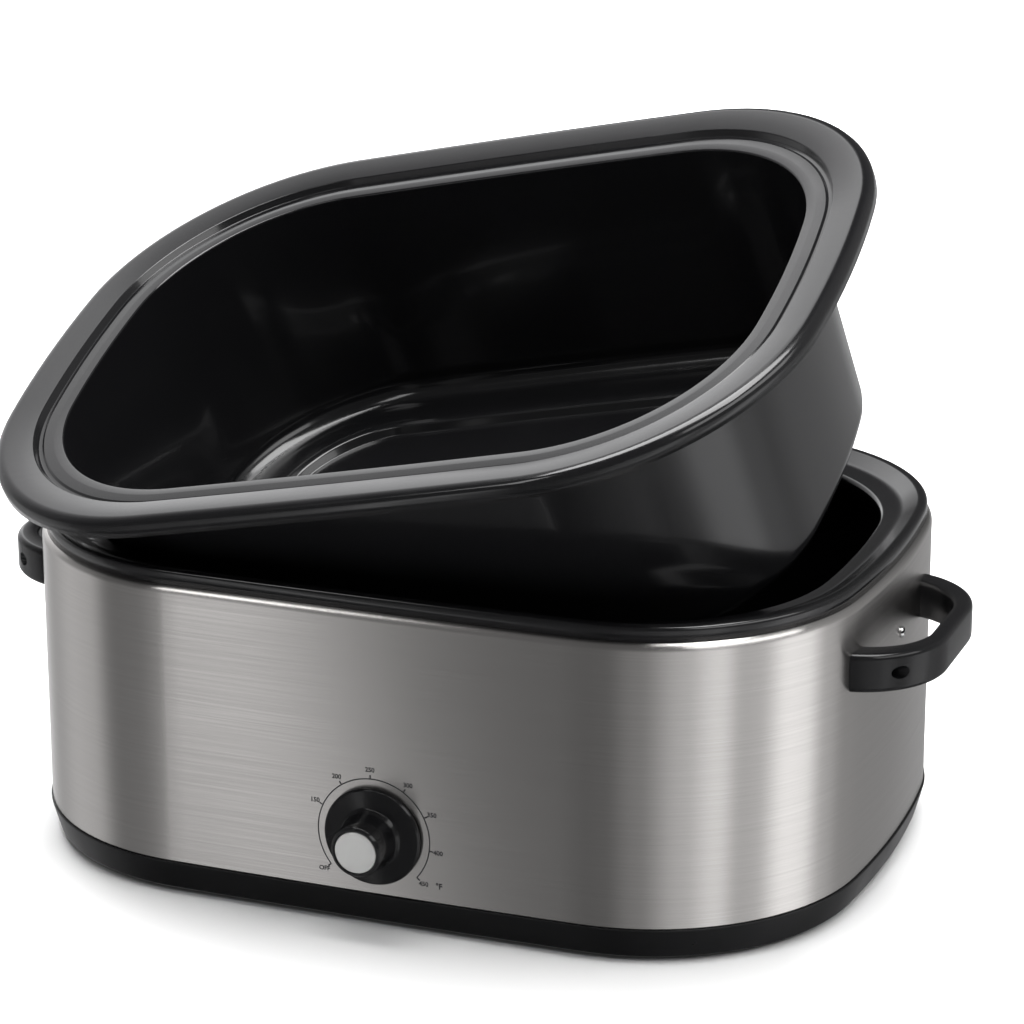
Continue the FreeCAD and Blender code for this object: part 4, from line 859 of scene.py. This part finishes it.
def pan_section():
    rib = -PAN_DRAFT - 36.0
    return rounded([
        (PAN_RIM_WIDTH, RIM_HEM, 0), (PAN_RIM_WIDTH, RIM_CORNER, RIM_ROLL),
        (FLANGE_EDGE, FLANGE_STEP, 1.0),
        (FLANGE_EDGE - 1.9, GROOVE_LEVEL, 0.7), (14.3, GROOVE_LEVEL, 0.8), (12.9, 1.0, 0.9),
        (6.5, 1.25, 8.0), (0.0, 0.9, 1.3), (-PAN_DRAFT, PAN_FLOOR, 14.0), (rib, PAN_FLOOR, 1.5),
        (rib - 3.0, PAN_FLOOR + 5.4, 2.6), (rib - 7.0, PAN_FLOOR + 6.3, 3.5),
        (rib - 11.0, PAN_FLOOR + 5.4, 2.6), (rib - 14.0, PAN_FLOOR, 1.5),
        (rib - 29.0, PAN_FLOOR, 0)], steps=5)


def pan_tip():
    """The matrix that takes the pan from its seat to where it is held."""
    joint = next(j for j in frame["joints"] if j["name"] == "pan_tilt")
    pivot = Matrix.Translation(Vector(joint["pos_m"]))
    turn = Matrix.Rotation(-math.radians(joint["range_deg"][0]), 4, Vector(joint["axis"]))
    return pivot @ turn @ pivot.inverted() @ Matrix.Translation(mm(0, 0, PAN_SEAT))


pan_bm = oval_shell(pan_plan, pan_section(), floor_level=PAN_FLOOR)
bmesh.ops.transform(pan_bm, matrix=pan_tip(), verts=pan_bm.verts)
finish_piece("pan_shell", pan_bm, enamel, "pan", ["pan"], sheet=PAN_SHEET)

# %% [markdown]
# ## Screws
# Every screw is the same pan head with a cross recess. One is turned and cut, and its mesh is then
# copied to each place. The recess is two crossed wedges, cut one after the other with a Boolean,
# because an inset cannot make a cross and a cutter that crosses itself leaves nothing.

# %% Screw heads
RECESS_SIZE, RECESS_LEVEL, RECESS_TAPER = (4.0, 0.75, 2.4), 2.2, 0.45


def make_screw_mesh():
    bm = bmesh.new()
    head = rounded([(0, 2.4, 0), (2.3, 2.4, 2.6), (3.6, 0.9, 0.7), (3.6, 0.0, 0.2), (1.9, 0.0, 0),
                    (1.9, -4.0, 0), (0, -4.0, 0)], steps=4)
    spun_profile(bm, head, Vector((0, 0, 0)), (0, 0, 1), (1, 0, 0), steps=36)
    screw = add_object("screw", as_mesh("screw", bm))
    for turn in (0, math.pi / 2):
        slot = bmesh.new()
        made = bmesh.ops.create_cube(slot, size=1)["verts"]
        bmesh.ops.scale(slot, verts=made, vec=mm(*RECESS_SIZE))
        for vert in made:
            if vert.co.z < 0:
                vert.co.x *= RECESS_TAPER
        bmesh.ops.rotate(slot, verts=made, cent=(0, 0, 0), matrix=Matrix.Rotation(turn, 3, "Z"))
        bmesh.ops.translate(slot, verts=made, vec=mm(0, 0, RECESS_LEVEL))
        cut_away(screw, slot)
    mesh = screw.data
    bpy.data.objects.remove(screw)
    return mesh


def screws_at(name, places, nodes):
    """Copies of the screw, each at a point in millimetres with its head looking along an axis."""
    bm = bmesh.new()
    for point, looks, turn in places:
        known = set(bm.verts)
        bm.from_mesh(screw_mesh)
        added = [vert for vert in bm.verts if vert not in known]
        matrix = (Matrix.Translation(mm(*point)) @ Vector(looks).to_track_quat("Z", "Y")
                  .to_matrix().to_4x4() @ Matrix.Rotation(math.radians(turn), 4, "Z"))
        bmesh.ops.transform(bm, matrix=matrix, verts=added)
    return finish_piece(name, bm, bright, "base", nodes, sharp=math.radians(30))


screw_mesh = make_screw_mesh()
END_SCREW_LEVEL, TRAY_SCREW_LEVEL = 158, 2.8
HANDLE_LEVEL, HANDLE_SHIFT, HANDLE_SCREW_X, HANDLE_SCREW_REACH = 162.25, -12.0, 288.0, 68.5
screws_at("end_screw_heads",
          [((side * WRAP.half_length, 0, END_SCREW_LEVEL), (side, 0, 0), turn)
           for side, turn in ((1, 20), (-1, 50))], ["end_screws"])
screws_at("handle_screw_heads",
          [((side * HANDLE_SCREW_X, HANDLE_SHIFT + end * HANDLE_SCREW_REACH, HANDLE_LEVEL),
            (side, 0, 0), turn)
           for side, end, turn in ((1, 1, 10), (1, -1, 35), (-1, 1, 65), (-1, -1, 80))],
          ["handle_screws"])
screws_at("tray_screw_heads",
          [((x, y, TRAY_SCREW_LEVEL), (0, 0, -1), 15 + x + y) for x, y in POSTS],
          ["tie_screws"])

# %% [markdown]
# ## Handles
# Each handle is a flat loop: two feet that meet the end wall and a bar that joins them round two
# big bends. The outer and the inner edge are drawn as chains of spun vertices, bridged into a
# strip, extruded to the handle's height and bevelled to a soft edge. The feet are then cut to the
# curve of the wall, and the screws get their sunk wells.

# %% Handles
HANDLE_TALL, HANDLE_EDGE, HANDLE_ROOT_X, HANDLE_WELL_RADIUS = 25.5, 4.0, 250.0, 4.2
# face of the bar along X, radius of the bends, half of the straight bar
HANDLE_OUTER, HANDLE_INNER = (320.5, 58.0, 26.0), (308.5, 42.0, 22.0)


def handle_chain(bm, face_x, radius, half_straight):
    """From one foot round a bend, along the bar and round the other bend to the other foot."""
    known = set(bm.edges)
    base = HANDLE_LEVEL - HANDLE_TALL / 2
    low, high = HANDLE_SHIFT - half_straight, HANDLE_SHIFT + half_straight
    centre_x = face_x - radius
    foot = bm.verts.new(mm(HANDLE_ROOT_X, low - radius, base))
    tip = bmesh.ops.extrude_vert_indiv(bm, verts=[foot])["verts"][0]
    tip.co = mm(centre_x, low - radius, base)
    tip = spin_vertex(bm, tip, mm(centre_x, low, base), (0, 0, 1), math.pi / 2, 20)
    tip = bmesh.ops.extrude_vert_indiv(bm, verts=[tip])["verts"][0]
    tip.co = mm(face_x, high, base)
    tip = spin_vertex(bm, tip, mm(centre_x, high, base), (0, 0, 1), math.pi / 2, 20)
    foot = bmesh.ops.extrude_vert_indiv(bm, verts=[tip])["verts"][0]
    foot.co = mm(HANDLE_ROOT_X, high + radius, base)
    return [edge for edge in bm.edges if edge not in known]


def handle_loop():
    bm = bmesh.new()
    edges = handle_chain(bm, *HANDLE_OUTER) + handle_chain(bm, *HANDLE_INNER)
    bmesh.ops.bridge_loops(bm, edges=edges)
    bmesh.ops.translate(bm, verts=raised(bm, bm.faces[:]), vec=mm(0, 0, HANDLE_TALL))
    bmesh.ops.recalc_face_normals(bm, faces=bm.faces)
    rims = [edge for edge in bm.edges if edge.calc_face_angle(0) > math.radians(60)
            and abs(edge.verts[0].co.z - edge.verts[1].co.z) < SAME_LEVEL
            and any(vert.co.x > (HANDLE_ROOT_X + 0.1) * MM for vert in edge.verts)]
    ease(bm, rims, HANDLE_EDGE, 7)
    return bm


def wall_block():
    """The space inside the wrap, as a closed block that the feet are cut with."""
    low, high, skin = 100, 220, 0.12
    bm = oval_shell(base_plan, [Vector((-60, low)), Vector((skin, low)), Vector((skin, high)),
                                Vector((-60, high))])
    for level in (low, high):
        bmesh.ops.edgeloop_fill(bm, edges=rim_at(bm, level))
    bmesh.ops.recalc_face_normals(bm, faces=bm.faces)
    return bm


def make_handles():
    right = finish_piece("handle_right_loop", handle_loop(), phenolic, "base",
                         ["handle_right"])
    cut_away(right, wall_block())
    wells = bmesh.new()
    for end in (-1, 1):
        y = HANDLE_SHIFT + end * HANDLE_SCREW_REACH
        rod_between(wells, (HANDLE_SCREW_X - 0.01, y, HANDLE_LEVEL),
                    (HANDLE_SCREW_X + 60, y, HANDLE_LEVEL), HANDLE_WELL_RADIUS, 40)
    cut_away(right, wells)
    mesh = right.data.copy()
    mesh.transform(Matrix.Scale(-1, 4, (1, 0, 0)))
    mesh.flip_normals()
    finish_piece("handle_left_loop", mesh, phenolic, "base", ["handle_left"])


make_handles()

# %% [markdown]
# ## The control knob
# The knob is turned about the dial's axis: a wide, slightly domed skirt, a grip that tapers to the
# front and a recess for the silver disc. Fine flutes round the grip are made by moving its
# vertices in and out, and a raised, painted pointer on the skirt says where the dial stands.

# %% Control knob
KNOB_BACK = -208.1
FLUTES, FLUTE_DEPTH, FLUTE_LOW, FLUTE_HIGH, FLUTE_INSIDE = 36, 0.32, 9.0, 27.0, 15.5
POINTER_SIZE, POINTER_RADIUS, POINTER_DEPTH, POINTER_ANGLE = (9.0, 1.3, 1.8), 25.6, 4.2, 219.0
KNOB_AXIS, DIAL_RIGHT, DIAL_UP = Vector((0, -1, 0)), Vector((1, 0, 0)), Vector((0, 0, 1))


def dial_point(radius, angle, depth=0.0):
    """A point round the dial in metres: angle in degrees from the right, depth out of the wall."""
    turn = math.radians(angle)
    centre = Vector((DIAL_CENTRE[0], KNOB_BACK * MM, DIAL_CENTRE[2]))
    return (centre + DIAL_RIGHT * radius * math.cos(turn) * MM
            + DIAL_UP * radius * math.sin(turn) * MM + KNOB_AXIS * depth * MM)


def make_knob():
    bm = bmesh.new()
    section = rounded([
        (0, 20, 0), (3, 20, 0), (3, 0, 0), (7, 0, 0), (7, 2.6, 0), (28.5, 2.6, 0.3),
        (29.4, 0, 0.4), (31.6, 0, 0.6), (32.0, 2.0, 1.0), (31.0, 3.7, 1.2), (19.6, 4.9, 1.6),
        (17.9, 8.0, 3.0), (16.5, 27.6, 1.3), (15.3, 29.0, 0.5), (13.9, 29.0, 0.2),
        (13.9, 27.3, 0), (0, 27.3, 0)], steps=5)
    middle = dial_point(0, 0)
    spun_profile(bm, section, middle, KNOB_AXIS, DIAL_RIGHT, steps=FLUTES * 8)
    for vert in bm.verts:
        depth = (vert.co - middle).dot(KNOB_AXIS) / MM
        flat = vert.co - middle - KNOB_AXIS * depth * MM
        if FLUTE_LOW < depth < FLUTE_HIGH and flat.length > FLUTE_INSIDE * MM:
            turn = math.atan2(flat.dot(DIAL_UP), flat.dot(DIAL_RIGHT))
            fade = min(1.0, (depth - FLUTE_LOW) / 2, FLUTE_HIGH - depth)
            vert.co -= flat.normalized() * (FLUTE_DEPTH * MM * fade
                                            * (0.5 - 0.5 * math.cos(turn * FLUTES)))
    return bm


def make_pointer():
    """A rounded rib on the skirt, from the grip towards the scale."""
    bm = bmesh.new()
    made = bmesh.ops.create_cube(bm, size=1)["verts"]
    bmesh.ops.scale(bm, verts=made, vec=mm(*POINTER_SIZE))
    ease(bm, bm.edges[:], 0.45, 3)
    angle = math.radians(POINTER_ANGLE)
    along = DIAL_RIGHT * math.cos(angle) + DIAL_UP * math.sin(angle)
    turn = Matrix((along, KNOB_AXIS.cross(along), KNOB_AXIS)).transposed().to_4x4()
    place = Matrix.Translation(dial_point(POINTER_RADIUS, POINTER_ANGLE, POINTER_DEPTH))
    bmesh.ops.transform(bm, matrix=place @ turn, verts=bm.verts)
    return bm


finish_piece("knob_body", make_knob(), phenolic, "control_knob", ["knob"],
             sharp=math.radians(50))
finish_piece("knob_pointer", make_pointer(), white_paint, "control_knob")
disc_bm = bmesh.new()
disc_section = rounded([(0, 28.9, 0), (5.0, 28.95, 40.0), (13.4, 28.8, 0.4), (13.75, 27.5, 0.1),
                        (0, 27.5, 0)], steps=5)
spun_profile(disc_bm, disc_section, dial_point(0, 0), KNOB_AXIS, DIAL_RIGHT, steps=96)
finish_piece("knob_disc", disc_bm, disc_metal, "control_knob", ["knob_insert"])

# %% [markdown]
# ## The printed dial
# The scale is screen-printed on the steel: a thin ring with a tick and a temperature at every 50
# degrees. The ring and the ticks are short edges spun about the dial's axis; the numbers are text
# objects turned into meshes. All of it is a twentieth of a millimetre thick and follows the faint
# bow of the wall.

# %% Printed dial
SCALE_RADIUS, HALF_LINE, TICK_LENGTH, HALF_TICK = 37.3, 0.4, 2.6, 0.7  # half a tick in degrees
INK_THICKNESS, INK_GAP = 0.05, 0.01
NUMBER_SIZE, NUMBER_RADIUS = 4.2, 43.2
UNIT_SIZE, UNIT_RADIUS, UNIT_ANGLE = 5.2, 51.5, -33.0
SCALE = (("OFF", 219.0), ("150", 155.3), ("200", 124.4), ("250", 92.7), ("300", 57.5),
         ("350", 26.0), ("400", -7.8), ("450", -40.1))


def on_wall(vert, outer):
    """Puts a vertex on the front wall, as part of the outer or the inner side of the ink."""
    lift = INK_GAP + (INK_THICKNESS if outer else 0)
    vert.co.y = -(side_face(vert.co.x / MM) + lift) * MM


def make_scale_lines():
    bm = bmesh.new()
    first, last = SCALE[0][1], SCALE[-1][1]
    strips = [(SCALE_RADIUS - HALF_LINE, SCALE_RADIUS + HALF_LINE, first, last - first, 130)]
    strips += [(SCALE_RADIUS, SCALE_RADIUS + TICK_LENGTH, angle + HALF_TICK, -2 * HALF_TICK, 1)
               for _, angle in SCALE]
    for inner, outer, start, sweep, steps in strips:
        verts = [bm.verts.new(dial_point(radius, start)) for radius in (inner, outer)]
        edge = bm.edges.new(verts)
        bmesh.ops.spin(bm, geom=verts + [edge], cent=dial_point(0, 0), axis=KNOB_AXIS,
                       dvec=(0, 0, 0), angle=math.radians(sweep), steps=steps, use_merge=False,
                       use_duplicate=False)
    top = set(raised(bm, bm.faces[:]))
    for vert in bm.verts:
        on_wall(vert, vert in top)
    bmesh.ops.recalc_face_normals(bm, faces=bm.faces)
    return bm


def add_word(bm, word, size, radius, angle):
    """Adds a word to the print, its middle at a place round the dial."""
    text = bpy.data.curves.new("word", "FONT")
    text.body = word
    text.size = size * MM
    text.align_x, text.align_y = "CENTER", "CENTER"
    text.extrude = INK_THICKNESS * MM / 2
    text.offset = size * 0.03 * MM
    text.resolution_u = 3
    holder = add_object("word", text)
    mesh = shown_mesh(holder)
    bpy.data.objects.remove(holder)
    mesh.transform(Matrix.Translation(dial_point(radius, angle))
                   @ Matrix.Rotation(math.pi / 2, 4, "X"))
    known = set(bm.verts)
    bm.from_mesh(mesh)
    added = [vert for vert in bm.verts if vert not in known]
    for vert in added:
        on_wall(vert, vert.co.y < KNOB_BACK * MM)


finish_piece("dial_ring_print", make_scale_lines(), ink, "base")
numbers_bm = bmesh.new()
for word, angle in SCALE:
    add_word(numbers_bm, word, NUMBER_SIZE, NUMBER_RADIUS, angle)
add_word(numbers_bm, "°F", UNIT_SIZE, UNIT_RADIUS, UNIT_ANGLE)
bmesh.ops.remove_doubles(numbers_bm, verts=numbers_bm.verts, dist=WELD)
finish_piece("dial_numbers_print", numbers_bm, ink, "base",
             sharp=math.radians(20))

# %% [markdown]
# ## The cord's bushing
# A rubber bushing snaps into the back of the wrap where the supply cord goes in. It is turned like
# the knob: a flange with a soft shoulder and a lip round the bore.

# %% Bushing
gland_bm = bmesh.new()
gland_section = rounded([
    (5.2, -8, 0), (8.3, -8, 0.4), (8.3, -1.3, 0), (7.4, -1.3, 0), (7.4, 0.05, 0), (10.5, 0.05, 0.2),
    (10.5, 2.4, 0.8), (9.5, 4.0, 0.8), (5.6, 4.0, 0.6), (5.0, 3.2, 0.4), (3.9, 3.2, 0.3),
    (3.9, 1.0, 0), (5.2, 0.5, 0)], steps=4)
gland_section.append(gland_section[0])
gland_centre = mm(GLAND_X, WRAP.half_width, GLAND_LEVEL)
spun_profile(gland_bm, gland_section, gland_centre, (0, 1, 0), (1, 0, 0), steps=48)
finish_piece("cord_bushing", gland_bm, rubber, "base", ["cord_gland"])
